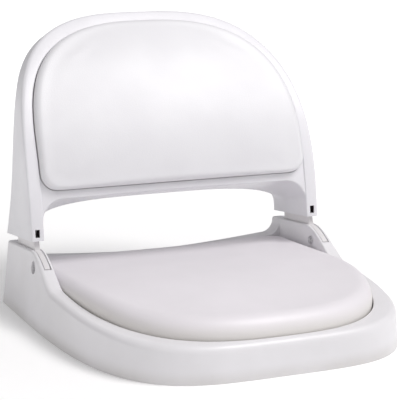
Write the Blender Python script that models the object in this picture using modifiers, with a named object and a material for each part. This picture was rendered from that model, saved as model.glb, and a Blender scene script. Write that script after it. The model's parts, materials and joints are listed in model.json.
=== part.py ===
"""Folding boat seat: a moulded base and a moulded back on a pinned side hinge, both with padded cushions.

The frame is in metres: +X to the sitter's left, -Y to the front of the seat, +Z up.
The origin is the middle of the base's underside, where a pedestal is bolted on.
"Ahead" always means the distance in front of the base's rear face.
The back is drawn standing straight, as (x, depth behind its front face, height along
its front face), and then every piece of it is bent to the same leaning curve.
"""
import math

import bmesh
import bpy
import numpy as np
from mathutils import Matrix, Vector

MM = 0.001

# General clearances and walls
FIT_GAP = 0.3 * MM
CUSHION_GAP = 1.2 * MM
OVERRUN = 4.0 * MM
WALL = 3.6 * MM
KEY_IN = 1.8 * MM
RIB_THICK = 3.0 * MM

# Seat cushion, which everything else is sized round
SEAT_HALF_WIDTH = 206.5 * MM
SEAT_FRONT = 467.0 * MM
SEAT_CENTRE = 191.0 * MM
SEAT_REAR = 28.5 * MM
SEAT_POWER = 2.7
SEAT_REAR_CORNER = 26.0 * MM
SEAT_CROWN_HEIGHT = 85.0 * MM
SEAT_CROWN_AT = 290.0 * MM
SEAT_REAR_DROP = 15.0 * MM
SEAT_FRONT_DROP = 9.0 * MM
SEAT_SIDE_DROP = 2.5 * MM
SEAT_REAR_DISH = 5.0 * MM
SEAT_SHOULDER = 19.0 * MM
SEAT_FRONT_SHOULDER = 28.0 * MM
BACK_SHOULDER = 10.0 * MM
CUSHION_DRAW_IN = 3.0 * MM
VINYL = 1.2 * MM
HEM_WIDTH = 22.0 * MM
SIDE_RING_SHARES = ((0.0, 1.0), (0.45, 0.25), (1.0, 0.0))
SHOULDER_ANGLES = (math.radians(25), math.radians(50), math.radians(72))
CROWN_RING_SHARES = (0.08, 0.25, 0.5, 0.77)
BOARD_INSET = 5.0 * MM
SEAT_BOARD_THICK = 6.0 * MM
BACK_BOARD_THICK = 4.6 * MM

# Base shell
SIDE_RIM_WIDTH = 30.9 * MM
FRONT_RIM_WIDTH = 16.6 * MM
BASE_HALF_WIDTH = SEAT_HALF_WIDTH + SIDE_RIM_WIDTH
BASE_DEPTH = SEAT_FRONT + FRONT_RIM_WIDTH
BASE_POWER = 4.0
SIDE_LEAN = 0.118
FRONT_LEAN = 0.04
RIM_FRONT_HEIGHT = 48.8 * MM
RIM_SLOPE = 0.0565
RIM_INNER_ROUND = 2.2 * MM
FRONT_ROUND = 11.5 * MM
SIDE_ROUND = 8.0 * MM
EAR_ROUND = 3.6 * MM
REAR_CORNER_ROUND = 7.0 * MM
EAR_REAR_HEIGHT = 92.0 * MM
EAR_FRONT_HEIGHT = 103.0 * MM
EAR_LENGTH = 128.0 * MM
EAR_SLOPE_START = 115.0 * MM
EAR_SLOPE_END = 215.0 * MM
RIM_HOLLOW_TOP = 51.0 * MM
EAR_HOLLOW_TOP = 43.0 * MM
DECK_TOP = 36.0 * MM
DECK_THICK = 3.4 * MM
REAR_RIM_HEIGHT = 57.0 * MM
REAR_RIM_RISE = 11.0 * MM
REAR_RIM_POWER = 1.6
REAR_RIM_WIDTH = 27.0 * MM
REAR_FILLET = 20.0 * MM
BASE_RIB_DEPTH = 30.0 * MM
BASE_LONG_RIBS = 5
CROSS_RIB_SHARES = (0.185, 0.342, 0.5, 0.658, 0.815)

# Pedestal bolt pattern on the underside
BOLT_SPREAD_X = 127.0 * MM
BOLT_SPREAD_SHORT = 127.0 * MM
BOLT_SPREAD_LONG = 304.8 * MM
BOSS_RADIUS = 9.5 * MM
HUB_RADIUS = 16.0 * MM
INSERT_RADIUS = 5.0 * MM
INSERT_BORE_RADIUS = 3.2 * MM
INSERT_LENGTH = 14.0 * MM

# Back shell, drawn straight
BACK_SIDE_SETBACK = 11.8 * MM
BACK_SIDE_RIM = 19.1 * MM
BACK_TOP_RIM = 22.0 * MM
POCKET_TOP = 335.0 * MM
BACK_HALF_WIDTH = BASE_HALF_WIDTH - BACK_SIDE_SETBACK
BACK_LENGTH = POCKET_TOP + BACK_TOP_RIM
BACK_CENTRE = 60.0 * MM
BACK_POWER = 3.0
LEG_FRONT_AHEAD = 122.5 * MM
LEG_FOOT_HEIGHT = 115.0 * MM
LEAN_LOW = math.radians(5.4)
LEAN_HIGH = math.radians(42.8)
LEAN_START = -20.0 * MM
LEAN_END = 302.0 * MM
LEG_DEPTH = 127.0 * MM
TOP_DEPTH = 34.0 * MM
DEPTH_LEVELS_AT = 240.0 * MM
DEPTH_POWER = 1.32
WALL_LIFT = 13.5 * MM
BACK_ROUND = 7.0 * MM
LEG_ROUND = 3.0 * MM
BACK_INNER_ROUND = 2.0 * MM
POCKET_CENTRE = 124.0 * MM
POCKET_HALF_WIDTH = BACK_HALF_WIDTH - BACK_SIDE_RIM
POCKET_POWER = 2.6
POCKET_BOTTOM = 68.5 * MM
POCKET_CORNER = 25.0 * MM
POCKET_DEPTH = 8.0 * MM
BAND_SETBACK = 1.4 * MM
FLOOR_THICK = 3.2 * MM
RIM_THICK = 11.6 * MM
OPENING_TOP = 56.5 * MM
OPENING_CORNER = 34.0 * MM
LIP_SETBACK = 4.5 * MM
ARCH_SIDE_TAPER = 7.5 * MM
ARCH_HALF_WIDTH = POCKET_HALF_WIDTH - ARCH_SIDE_TAPER
ARCH_HEIGHT = 51.0 * MM
ARCH_POWER = 3.4
ARCH_FLARE = 7.0 * MM
ARCH_FLARE_WIDTH = 15.0 * MM
FLANGE_LEG_DEPTH = 113.0 * MM
FLANGE_TOP_DEPTH = 76.0 * MM
BACK_RIB_DEPTH = 22.0 * MM
BACK_RIB_SPREAD = 92.0 * MM
BACK_RIB_HEIGHTS = (133.0 * MM, 200.0 * MM, 266.0 * MM)
BACK_CROWN = 15.0 * MM
BACK_CROWN_SIDE = 10.0 * MM

# Hinge
PIVOT_AHEAD = 134.0 * MM
PIVOT_HEIGHT = 81.0 * MM
TONGUE_MIDDLE = (BACK_HALF_WIDTH + POCKET_HALF_WIDTH) / 2
TONGUE_THICK = 8.0 * MM
ROOT_SIDE_GAP = 0.35 * MM
WASHER_THICK = 0.8 * MM
WASHER_RADIUS = 9.0 * MM
WASHER_GAP = 0.25 * MM
PIN_RADIUS = 4.0 * MM
PIN_HEAD_RADIUS = 8.8 * MM
PIN_HEAD_THICK = 1.4 * MM
PIN_HEAD_SINK = 2.4 * MM
RETAINER_RADIUS = 6.5 * MM
RETAINER_THICK = 1.2 * MM
SLOT_REAR_AHEAD = 34.6 * MM
SLOT_FLOOR_HEIGHT = 65.0 * MM
NOSE_REACH = 33.4 * MM
TONGUE_FRONT_SETBACK = 8.0 * MM
ROOT_HEIGHT = 74.0 * MM
ROOT_TOP_DEPTH = 52.0 * MM
WINDOW_WIDTH = 6.4 * MM
WINDOW_HEIGHT = 11.0 * MM
WINDOW_CENTRE_HEIGHT = 10.5 * MM
WINDOW_POCKET = 9.0 * MM

# Cushion screws
SCREW_RADIUS = 2.1 * MM
SCREW_HEAD_RADIUS = 4.4 * MM
SCREW_HEAD_THICK = 2.4 * MM
SCREW_BITE_SHARE = 0.75
SEAT_SCREW_SPREAD = BOLT_SPREAD_X * 3 / 4
SEAT_SCREW_SHARES = (0.14, 0.42, 0.74)
BACK_SCREW_SPREAD = 118.0 * MM
BACK_SCREW_HEIGHTS = (105.0 * MM, 233.0 * MM)

# Counts of facets
ROUND_STEPS = 4
PIN_SIDES = 20
SMALL_SIDES = 8
CUSHION_STEPS = 56

REAR_Y = BASE_DEPTH / 2
PIVOT = Vector((0, REAR_Y - PIVOT_AHEAD, PIVOT_HEIGHT))
WELL_HALF_WIDTH = SEAT_HALF_WIDTH + CUSHION_GAP
SLOT_WIDTH = TONGUE_THICK + 2 * (WASHER_THICK + 2 * WASHER_GAP)
BORE_RADIUS = PIN_RADIUS + FIT_GAP
ACROSS_Y = Matrix(((1, 0, 0, 0), (0, 0, -1, 0), (0, 1, 0, 0), (0, 0, 0, 1)))
ACROSS_X = Matrix(((0, 0, 1, 0), (1, 0, 0, 0), (0, 1, 0, 0), (0, 0, 0, 1)))

for old in list(bpy.data.objects):
    bpy.data.objects.remove(old, do_unlink=True)

parts = bpy.data.collections.new("folding_boat_seat")
cutters = bpy.data.collections.new("cutters")
bpy.context.scene.collection.children.link(parts)
bpy.context.scene.collection.children.link(cutters)


def material(name, colour, roughness, metallic=0.0):
    """A plain Principled material."""
    made = bpy.data.materials.new(name)
    made.use_nodes = True
    shader = made.node_tree.nodes["Principled BSDF"]
    shader.inputs["Base Color"].default_value = (*colour, 1.0)
    shader.inputs["Roughness"].default_value = roughness
    shader.inputs["Metallic"].default_value = metallic
    made.diffuse_color = (*colour, 1.0)
    return made


def place(mesh, name, finish=None):
    """An object for the mesh, among the parts when it has a finish and else among the cutters."""
    made = bpy.data.objects.new(name, mesh)
    if finish is None:
        cutters.objects.link(made)
        made.hide_render = True
        made.display_type = "WIRE"
    else:
        parts.objects.link(made)
        mesh.materials.clear()
        mesh.materials.append(finish)
    return made


def to_mesh(source, name):
    """The object's evaluated mesh as it stands in the world, welded; the object is removed."""
    bpy.context.view_layer.update()
    graph = bpy.context.evaluated_depsgraph_get()
    mesh = bpy.data.meshes.new_from_object(source.evaluated_get(graph))
    mesh.name = name
    mesh.transform(source.matrix_world)
    bpy.data.objects.remove(source, do_unlink=True)
    work = bmesh.new()
    work.from_mesh(mesh)
    bmesh.ops.remove_doubles(work, verts=work.verts, dist=0.01 * MM)
    bmesh.ops.recalc_face_normals(work, faces=work.faces)
    work.to_mesh(mesh)
    work.free()
    return mesh


def plate(name, outline, low, high, turn=Matrix.Identity(4)):
    """A flat outline extruded from low to high along the plate's own third axis, as a mesh."""
    curve = bpy.data.curves.new(name, "CURVE")
    curve.dimensions = "2D"
    curve.fill_mode = "BOTH"
    curve.extrude = (high - low) / 2
    line = curve.splines.new("POLY")
    line.points.add(len(outline) - 1)
    for point, (across, up) in zip(line.points, outline):
        point.co = (across, up, 0, 1)
    line.use_cyclic_u = True
    holder = bpy.data.objects.new(name, curve)
    cutters.objects.link(holder)
    holder.matrix_world = turn @ Matrix.Translation((0, 0, (low + high) / 2))
    return to_mesh(holder, name)


def side_plate(name, outline, low, high):
    """A (y, z) outline extruded along X."""
    return plate(name, outline, low, high, ACROSS_X)


def front_plate(name, outline, near, far):
    """An (x, z) outline extruded along Y, from near to far."""
    return plate(name, outline, -far, -near, ACROSS_Y)


def box(name, low, high):
    """A block between two corners, as a mesh."""
    work = bmesh.new()
    bmesh.ops.create_cube(work, size=1.0)
    size = [b - a for a, b in zip(low, high)]
    middle = [(a + b) / 2 for a, b in zip(low, high)]
    bmesh.ops.scale(work, vec=size, verts=work.verts)
    bmesh.ops.translate(work, vec=middle, verts=work.verts)
    mesh = bpy.data.meshes.new(name)
    work.to_mesh(mesh)
    work.free()
    return mesh


def turned(name, profile, sides, standing):
    """A closed profile of (radius, height) turned about Z, then stood where standing says, as a mesh."""
    line = bpy.data.meshes.new(name)
    points = [(radius, 0, height) for radius, height in profile]
    closed = profile[0][0] > 0 and profile[-1][0] > 0
    edges = [(i, i + 1) for i in range(len(points) - 1)]
    if closed:
        edges.append((len(points) - 1, 0))
    line.from_pydata(points, edges, [])
    holder = bpy.data.objects.new(name, line)
    cutters.objects.link(holder)
    screw = holder.modifiers.new("turn", "SCREW")
    screw.steps = sides
    screw.render_steps = sides
    screw.use_merge_vertices = True
    screw.merge_threshold = 0.01 * MM
    holder.matrix_world = standing
    return to_mesh(holder, name)


def gather(name, meshes):
    """Several meshes as one mesh of separate solids."""
    work = bmesh.new()
    for mesh in meshes:
        work.from_mesh(mesh)
    whole = bpy.data.meshes.new(name)
    work.to_mesh(whole)
    work.free()
    return whole


def loft(name, sections):
    """Closed sections with equal point counts, joined in order and capped at both ends."""
    count = len(sections[0])
    points = [point for section in sections for point in section]
    faces = []
    for row in range(len(sections) - 1):
        for i in range(count):
            j = (i + 1) % count
            start = row * count
            faces.append((start + i, start + j, start + count + j, start + count + i))
    faces.append(tuple(range(count))[::-1])
    faces.append(tuple((len(sections) - 1) * count + i for i in range(count)))
    mesh = bpy.data.meshes.new(name)
    mesh.from_pydata(points, [], faces)
    work = bmesh.new()
    work.from_mesh(mesh)
    bmesh.ops.recalc_face_normals(work, faces=work.faces)
    work.to_mesh(mesh)
    work.free()
    return mesh


def combine(target, tool_mesh, how):
    """A live Boolean on the target with the mesh as its hidden tool."""
    tool = place(tool_mesh, tool_mesh.name)
    step = target.modifiers.new(tool_mesh.name, "BOOLEAN")
    step.operation = how
    step.solver = "EXACT"
    step.object = tool


def finish_smooth(piece, degrees=35.0):
    """Round faces shaded smooth, with the real edges kept sharp."""
    piece.data.shade_smooth()
    piece.data.set_sharp_from_angle(angle=math.radians(degrees))


def smooth_step(value, start, end):
    """0 before start, 1 after end, and an even S between them."""
    share = min(max((value - start) / (end - start), 0.0), 1.0)
    return share * share * (3 - 2 * share)


def reach(inside, origin, direction, far):
    """How far the ray from origin stays inside the outline."""
    low, high = 0.0, far
    for _ in range(44):
        middle = (low + high) / 2
        if inside(origin[0] + direction[0] * middle, origin[1] + direction[1] * middle):
            low = middle
        else:
            high = middle
    return low


def inside_super(half_width, centre, length, power):
    """Test for a D outline: straight-sided behind its centre, a superellipse beyond it."""
    def test(x, along):
        beyond = max(along - centre, 0.0) / length
        return (abs(x) / half_width) ** power + beyond ** power < 1.0
    return test


def stations(centre, steps, side_alongs):
    """Places round a U: (origin, direction) pairs up one side, round the end and back down the other."""
    right = [((0.0, along), (1.0, 0.0)) for along in side_alongs]
    turn = [((0.0, centre), (math.cos(angle), math.sin(angle))) for angle in np.linspace(0, math.pi, steps)]
    left = [((0.0, along), (-1.0, 0.0)) for along in reversed(side_alongs)]
    return right + turn + left


def arc(middle, radius, start, end, steps):
    """Points of an arc in the plane, with both ends."""
    angles = np.linspace(start, end, steps + 1)
    return [(middle[0] + radius * math.cos(a), middle[1] + radius * math.sin(a)) for a in angles]


# Base shell

def rim_height(ahead):
    """Top of the rim: level slope to the front, rising to the hinge ears at the rear."""
    rim = RIM_FRONT_HEIGHT + RIM_SLOPE * (SEAT_FRONT - ahead)
    ear = EAR_REAR_HEIGHT + (EAR_FRONT_HEIGHT - EAR_REAR_HEIGHT) * ahead / EAR_LENGTH
    share = smooth_step(ahead, EAR_SLOPE_START, EAR_SLOPE_END)
    return ear + (rim - ear) * share


def corner_loss(distance, radius):
    """What a rounded corner takes off a face, at this distance from the corner's end."""
    if distance >= radius:
        return 0.0
    return radius - math.sqrt(radius * radius - (radius - distance) ** 2)


base_outline = inside_super(BASE_HALF_WIDTH, 0.0, BASE_DEPTH, BASE_POWER)
well_front = SEAT_FRONT + CUSHION_GAP - SEAT_CENTRE
well_outline = inside_super(WELL_HALF_WIDTH, SEAT_CENTRE, well_front, SEAT_POWER)


def base_section(origin, direction):
    """Closed wall section of the base at one place: skirt, rounded rim, well side and the hollow behind."""
    outer = reach(base_outline, origin, direction, BASE_DEPTH)
    inner = reach(well_outline, origin, direction, BASE_DEPTH)
    side = abs(direction[0]) ** 2
    ahead = origin[1] + direction[1] * outer
    ear_share = 1 - smooth_step(ahead, EAR_SLOPE_START, EAR_SLOPE_END)
    lean = FRONT_LEAN + (SIDE_LEAN - FRONT_LEAN) * side
    outer -= corner_loss(ahead, REAR_CORNER_ROUND)
    top = rim_height(ahead) - corner_loss(ahead, EAR_ROUND)
    rounding = FRONT_ROUND + (SIDE_ROUND - FRONT_ROUND) * side
    rounding += (EAR_ROUND - rounding) * ear_share
    face = outer - lean * (top - rounding)
    rounding = min(rounding, face - inner - RIM_INNER_ROUND - FIT_GAP)
    hollow_top = min(top - WALL, RIM_HOLLOW_TOP + (EAR_HOLLOW_TOP - RIM_HOLLOW_TOP) * ear_share)
    shoulder = min(top - rounding, hollow_top - WALL / 2)
    section = [(outer, 0.0)]
    section += arc((face - rounding, top - rounding), rounding, 0, math.pi / 2, ROUND_STEPS)
    section += arc((inner + RIM_INNER_ROUND, top - RIM_INNER_ROUND), RIM_INNER_ROUND, math.pi / 2, math.pi, 2)
    section += [(inner, DECK_TOP), (inner, DECK_TOP - DECK_THICK), (inner + WALL, DECK_TOP - DECK_THICK)]
    section.append((inner + WALL, hollow_top))
    section.append((max(face - max(rounding, WALL * 1.5), inner + WALL * 1.3), hollow_top))
    section.append((outer - lean * shoulder - WALL, shoulder))
    section.append((outer - WALL, 0.0))
    points = []
    for distance, height in section:
        x = origin[0] + direction[0] * distance
        y = REAR_Y - (origin[1] + direction[1] * distance)
        points.append((x, y, height))
    return points


def seat_outline(grow):
    """Top view of the seat cushion or what follows it, as (x, y), grown or shrunk by one margin."""
    test = inside_super(SEAT_HALF_WIDTH + grow, SEAT_CENTRE, SEAT_FRONT + grow - SEAT_CENTRE, SEAT_POWER)
    front = []
    for angle in np.linspace(0, math.pi, 2 * CUSHION_STEPS // 3):
        heading = (math.cos(angle), math.sin(angle))
        distance = reach(test, (0.0, SEAT_CENTRE), heading, BASE_DEPTH)
        front.append((heading[0] * distance, REAR_Y - SEAT_CENTRE - heading[1] * distance))
    rear = REAR_Y - SEAT_REAR + grow
    corner = SEAT_REAR_CORNER
    edge = SEAT_HALF_WIDTH + grow - corner
    left = arc((-edge, rear - corner), corner, math.pi, math.pi / 2, 5)
    right = arc((edge, rear - corner), corner, math.pi / 2, 0, 5)
    return front + left + right


def base_ribs():
    """Crossed ribs under the deck, trimmed to stop inside the skirt's wall."""
    half = BASE_HALF_WIDTH
    ribs = []
    for i in range(BASE_LONG_RIBS):
        x = (i - (BASE_LONG_RIBS - 1) / 2) * BOLT_SPREAD_X / 2
        low = (x - RIB_THICK / 2, -REAR_Y, DECK_TOP - DECK_THICK / 2 - BASE_RIB_DEPTH)
        ribs.append((low, (x + RIB_THICK / 2, REAR_Y, DECK_TOP - DECK_THICK / 2)))
    for share in CROSS_RIB_SHARES:
        y = REAR_Y - BASE_DEPTH * share
        low = (-half, y - RIB_THICK / 2, DECK_TOP - DECK_THICK / 2 - BASE_RIB_DEPTH)
        ribs.append((low, (half, y + RIB_THICK / 2, DECK_TOP - DECK_THICK / 2)))
    core = []
    for height in (0.0, DECK_TOP):
        ring = []
        for origin, direction in stations(SEAT_CENTRE, 41, [WALL / 2, SEAT_CENTRE / 2]):
            lean = FRONT_LEAN + (SIDE_LEAN - FRONT_LEAN) * abs(direction[0]) ** 2
            distance = reach(base_outline, origin, direction, BASE_DEPTH) - lean * height - WALL / 2
            ring.append((direction[0] * distance, REAR_Y - origin[1] - direction[1] * distance, height))
        core.append(ring)
    trimmed = place(box("first_rib", *ribs[0]), "base_rib_lattice")
    for i, (low, high) in enumerate(ribs[1:]):
        combine(trimmed, box("rib_%d" % i, low, high), "UNION")
    combine(trimmed, loft("rib_limit", core), "INTERSECT")
    return to_mesh(trimmed, "base_ribs")


def bolt_places():
    """Centres of the pedestal bolts: the short square and the long rectangle."""
    places = []
    for spread in (BOLT_SPREAD_SHORT, BOLT_SPREAD_LONG):
        for x in (-BOLT_SPREAD_X / 2, BOLT_SPREAD_X / 2):
            for y in (-spread / 2, spread / 2):
                places.append((x, y))
    return places


def seat_screw_places():
    """Centres of the screws that hold the seat cushion down."""
    places = []
    for share in SEAT_SCREW_SHARES:
        for side in (-1, 1):
            places.append((side * SEAT_SCREW_SPREAD, REAR_Y - BASE_DEPTH * share))
    return places


def upright(x, y, z):
    return Matrix.Translation((x, y, z))


def rod(name, radius, low, high, sides, standing):
    """A plain round bar from low to high along its own axis."""
    return turned(name, [(0, high), (radius, high), (radius, low), (0, low)], sides, standing)


def across(side, x, y, z):
    """Stands a turned piece along X, its own +Z pointing outwards on that side."""
    return Matrix.Translation((x, y, z)) @ Matrix.Rotation(side * math.pi / 2, 4, "Y")


def slot_outline():
    """Side view of the fork slot: a straight rear part, and a round floor that the tongue's nose swings in."""
    pivot = (REAR_Y - PIVOT_AHEAD, PIVOT_HEIGHT)
    radius = NOSE_REACH + 2 * FIT_GAP
    drop = PIVOT_HEIGHT - SLOT_FLOOR_HEIGHT
    meet = math.asin(drop / radius)
    above = EAR_FRONT_HEIGHT + OVERRUN
    floor = arc(pivot, radius, -meet, -math.pi, 14)
    rear = REAR_Y - SLOT_REAR_AHEAD
    return [(rear, above), (rear, SLOT_FLOOR_HEIGHT)] + floor + [(pivot[0] - radius, above)]


def outer_face_at_pivot():
    """How far out the ear's leaning face lies at the pin."""
    return BASE_HALF_WIDTH - SIDE_LEAN * PIVOT_HEIGHT


PIN_SEAT_X = outer_face_at_pivot() - PIN_HEAD_SINK - PIN_HEAD_THICK - 2 * FIT_GAP


def make_base_shell(finish):
    side_alongs = [REAR_CORNER_ROUND * share for share in (0.0, 0.1, 0.4, 1.0)]
    side_alongs += list(np.linspace(REAR_CORNER_ROUND, EAR_SLOPE_START, 4)[1:])
    side_alongs += list(np.linspace(EAR_SLOPE_START, SEAT_CENTRE, 9)[1:-1])
    places = stations(SEAT_CENTRE, 43, side_alongs)
    shell = place(loft("seat_base_shell", [base_section(*at) for at in places]), "seat_base_shell", finish)

    rear = REAR_Y
    front = REAR_Y - REAR_RIM_WIDTH
    end = WELL_HALF_WIDTH + KEY_IN
    bend = WELL_HALF_WIDTH - REAR_FILLET
    fillet_top = REAR_RIM_HEIGHT + REAR_RIM_RISE + REAR_FILLET
    beam = [(-end, 0.0), (end, 0.0), (end, fillet_top)]
    beam += arc((bend, fillet_top), REAR_FILLET, 0, math.radians(-75), 5)
    for share in np.linspace(1, -1, 17)[1:-1]:
        beam.append((bend * share, REAR_RIM_HEIGHT + REAR_RIM_RISE * abs(share) ** REAR_RIM_POWER))
    beam += arc((-bend, fillet_top), REAR_FILLET, math.radians(-105), -math.pi, 5)
    beam.append((-end, fillet_top))
    beam_object = place(front_plate("rear_beam_solid", beam, front, rear), "rear_beam_solid")
    hollow_end = WELL_HALF_WIDTH - WALL
    hollow_top = REAR_RIM_HEIGHT - WALL
    hollow = box("rear_beam_hollow", (-hollow_end, front + WALL, -OVERRUN), (hollow_end, rear - WALL, hollow_top))
    combine(beam_object, hollow, "DIFFERENCE")
    combine(shell, to_mesh(beam_object, "rear_beam"), "UNION")
    for side, word in ((-1, "left"), (1, "right")):
        foot = side * (BASE_HALF_WIDTH - WALL - REAR_CORNER_ROUND / 2)
        crest = foot - side * SIDE_LEAN * EAR_HOLLOW_TOP
        inside = side * (WELL_HALF_WIDTH + KEY_IN)
        panel = [(inside, FIT_GAP), (foot, FIT_GAP), (crest, EAR_HOLLOW_TOP + KEY_IN), (inside, EAR_HOLLOW_TOP + KEY_IN)]
        combine(shell, front_plate("ear_back_" + word, panel, rear - FIT_GAP - WALL, rear - FIT_GAP), "UNION")

    deck = seat_outline(CUSHION_GAP + KEY_IN)
    combine(shell, plate("deck", deck, DECK_TOP - DECK_THICK + FIT_GAP, DECK_TOP - FIT_GAP), "UNION")
    combine(shell, base_ribs(), "UNION")

    boss_top = DECK_TOP - DECK_THICK / 2
    for i, (x, y) in enumerate(bolt_places()):
        combine(shell, rod("boss_%d" % i, BOSS_RADIUS, 0, boss_top, SMALL_SIDES * 2, upright(x, y, 0)), "UNION")
    combine(shell, rod("hub", HUB_RADIUS, 0, boss_top, SMALL_SIDES * 2, upright(0, 0, 0)), "UNION")

    holes = []
    for x, y in bolt_places():
        depth = INSERT_LENGTH + 2 * FIT_GAP
        holes.append(rod("hole", INSERT_RADIUS + FIT_GAP, -OVERRUN, depth, PIN_SIDES // 2, upright(x, y, 0)))
    for x, y in seat_screw_places():
        radius = SCREW_RADIUS + FIT_GAP
        low = DECK_TOP - DECK_THICK - OVERRUN
        holes.append(rod("hole", radius, low, DECK_TOP + OVERRUN, SMALL_SIDES, upright(x, y, 0)))
    combine(shell, gather("base_holes", holes), "DIFFERENCE")

    for side, word in ((-1, "left"), (1, "right")):
        near = side * TONGUE_MIDDLE - SLOT_WIDTH / 2
        combine(shell, side_plate("slot_" + word, slot_outline(), near, near + SLOT_WIDTH), "DIFFERENCE")
        bore = rod("pin_bore_" + word, BORE_RADIUS, -OVERRUN, BASE_HALF_WIDTH - WELL_HALF_WIDTH, PIN_SIDES,
                   across(side, side * WELL_HALF_WIDTH, PIVOT.y, PIVOT.z))
        combine(shell, bore, "DIFFERENCE")
        seat = rod("head_seat_" + word, PIN_HEAD_RADIUS + FIT_GAP, 0, BASE_HALF_WIDTH - PIN_SEAT_X, PIN_SIDES,
                   across(side, side * PIN_SEAT_X, PIVOT.y, PIVOT.z))
        combine(shell, seat, "DIFFERENCE")
    finish_smooth(shell)


# Back shell, drawn straight and then bent

def lean_at(height):
    """Lean of the back's front face from upright, at this height along it."""
    return LEAN_LOW + (LEAN_HIGH - LEAN_LOW) * smooth_step(height, LEAN_START, LEAN_END)


CURVE_STEPS = 400
curve_heights = np.linspace(-LEG_FOOT_HEIGHT, BACK_LENGTH + LEG_FOOT_HEIGHT, CURVE_STEPS)
curve_leans = np.array([lean_at(height) for height in curve_heights])
curve_step = curve_heights[1] - curve_heights[0]
curve_back = np.cumsum(np.sin(curve_leans)) * curve_step
curve_up = np.cumsum(np.cos(curve_leans)) * curve_step
curve_back -= np.interp(0, curve_heights, curve_back)
curve_up -= np.interp(0, curve_heights, curve_up)


def bend_point(x, depth, height):
    """A point of the straight drawing where it lies on the finished, leaning back."""
    lean = np.interp(height, curve_heights, curve_leans)
    y = REAR_Y - LEG_FRONT_AHEAD + np.interp(height, curve_heights, curve_back) + depth * math.cos(lean)
    z = LEG_FOOT_HEIGHT + np.interp(height, curve_heights, curve_up) - depth * math.sin(lean)
    return (x, float(y), float(z))


def bend(mesh, cut_heights=()):
    """Bends a mesh of the straight drawing, after cutting its long faces at these heights."""
    work = bmesh.new()
    work.from_mesh(mesh)
    for height in cut_heights:
        everything = work.verts[:] + work.edges[:] + work.faces[:]
        bmesh.ops.bisect_plane(work, geom=everything, dist=0.01 * MM, plane_co=(0, 0, height), plane_no=(0, 0, 1))
    for vert in work.verts:
        vert.co = bend_point(vert.co.x, vert.co.y, vert.co.z)
    bmesh.ops.recalc_face_normals(work, faces=work.faces)
    work.to_mesh(mesh)
    work.free()
    return mesh


def wall_depth(height):
    """Depth of the back's side wall: deep at the legs, shallow at the top."""
    share = min(max(height / DEPTH_LEVELS_AT, 0.0), 1.0)
    return TOP_DEPTH + (LEG_DEPTH - TOP_DEPTH) * (1 - share) ** DEPTH_POWER


def wall_lift(height):
    """How far the rear edge of the back's wall is swept up from square to the front face."""
    return WALL_LIFT * smooth_step(height, OPENING_TOP, LEAN_END)


back_outline = inside_super(BACK_HALF_WIDTH, BACK_CENTRE, BACK_LENGTH - BACK_CENTRE, BACK_POWER)
pocket_outline = inside_super(POCKET_HALF_WIDTH, POCKET_CENTRE, POCKET_TOP - POCKET_CENTRE, POCKET_POWER)


def back_section(origin, direction):
    """Closed wall section of the back at one place: side wall, rounded rim, and the rim's thick edge."""
    outer = reach(back_outline, origin, direction, BACK_LENGTH)
    inner = reach(pocket_outline, origin, direction, BACK_LENGTH)
    height = origin[1] + direction[1] * outer
    rounding = LEG_ROUND + (BACK_ROUND - LEG_ROUND) * smooth_step(height, OPENING_TOP, LEAN_END)
    small = BACK_INNER_ROUND
    section = [(outer, wall_depth(height))]
    section += arc((outer - rounding, rounding), rounding, 0, -math.pi / 2, ROUND_STEPS)
    section += arc((inner + small, small), small, -math.pi / 2, -math.pi, 2)
    section += [(inner, RIM_THICK), (outer - WALL, RIM_THICK), (outer - WALL, wall_depth(height))]
    points = [[direction[0] * r, depth, origin[1] + direction[1] * r] for r, depth in section]
    points[0][2] += wall_lift(height)
    points[-1][2] += wall_lift(height)
    return points


def inside_opening(x, height):
    """Test for the opening's front line, a rectangle with two rounded upper corners."""
    over = max(abs(x) - POCKET_HALF_WIDTH + OPENING_CORNER, 0.0)
    above = max(height - OPENING_TOP + OPENING_CORNER, 0.0)
    return math.hypot(over, above) < OPENING_CORNER


def opening_angles():
    """Directions round the opening from the middle of its foot: close together at its corners."""
    side = [math.atan2(OPENING_TOP * share, POCKET_HALF_WIDTH) for share in (0.0, 0.2, 0.4, 0.55, 0.7, 0.82, 0.91)]
    top = [math.atan2(OPENING_TOP, POCKET_HALF_WIDTH * share) for share in (0.95, 0.87, 0.76, 0.6, 0.4, 0.2)]
    half = side + top
    return half + [math.pi / 2] + [math.pi - angle for angle in reversed(half)]


def flange_section(angle):
    """Section of the flange that lines the opening, from its front line to the lower arch at its rear edge."""
    out_x, out_height = math.cos(angle), math.sin(angle)
    front = reach(inside_opening, (0.0, 0.0), (out_x, out_height), BACK_LENGTH) + FIT_GAP
    rear = reach(inside_super(ARCH_HALF_WIDTH, 0.0, ARCH_HEIGHT, ARCH_POWER), (0.0, 0.0), (out_x, out_height),
                 BACK_LENGTH)
    flare = min(max(1 - (ARCH_HALF_WIDTH - abs(out_x) * rear) / ARCH_FLARE_WIDTH, 0.0), 1.0)
    end = FLANGE_TOP_DEPTH + (FLANGE_LEG_DEPTH - FLANGE_TOP_DEPTH) * flare
    rear += ARCH_FLARE * flare
    section = [(front, LIP_SETBACK), (rear, end), (rear + WALL, end), (front + WALL, LIP_SETBACK)]
    return [(out_x * r, depth, FIT_GAP + out_height * r) for r, depth in section]


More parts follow.
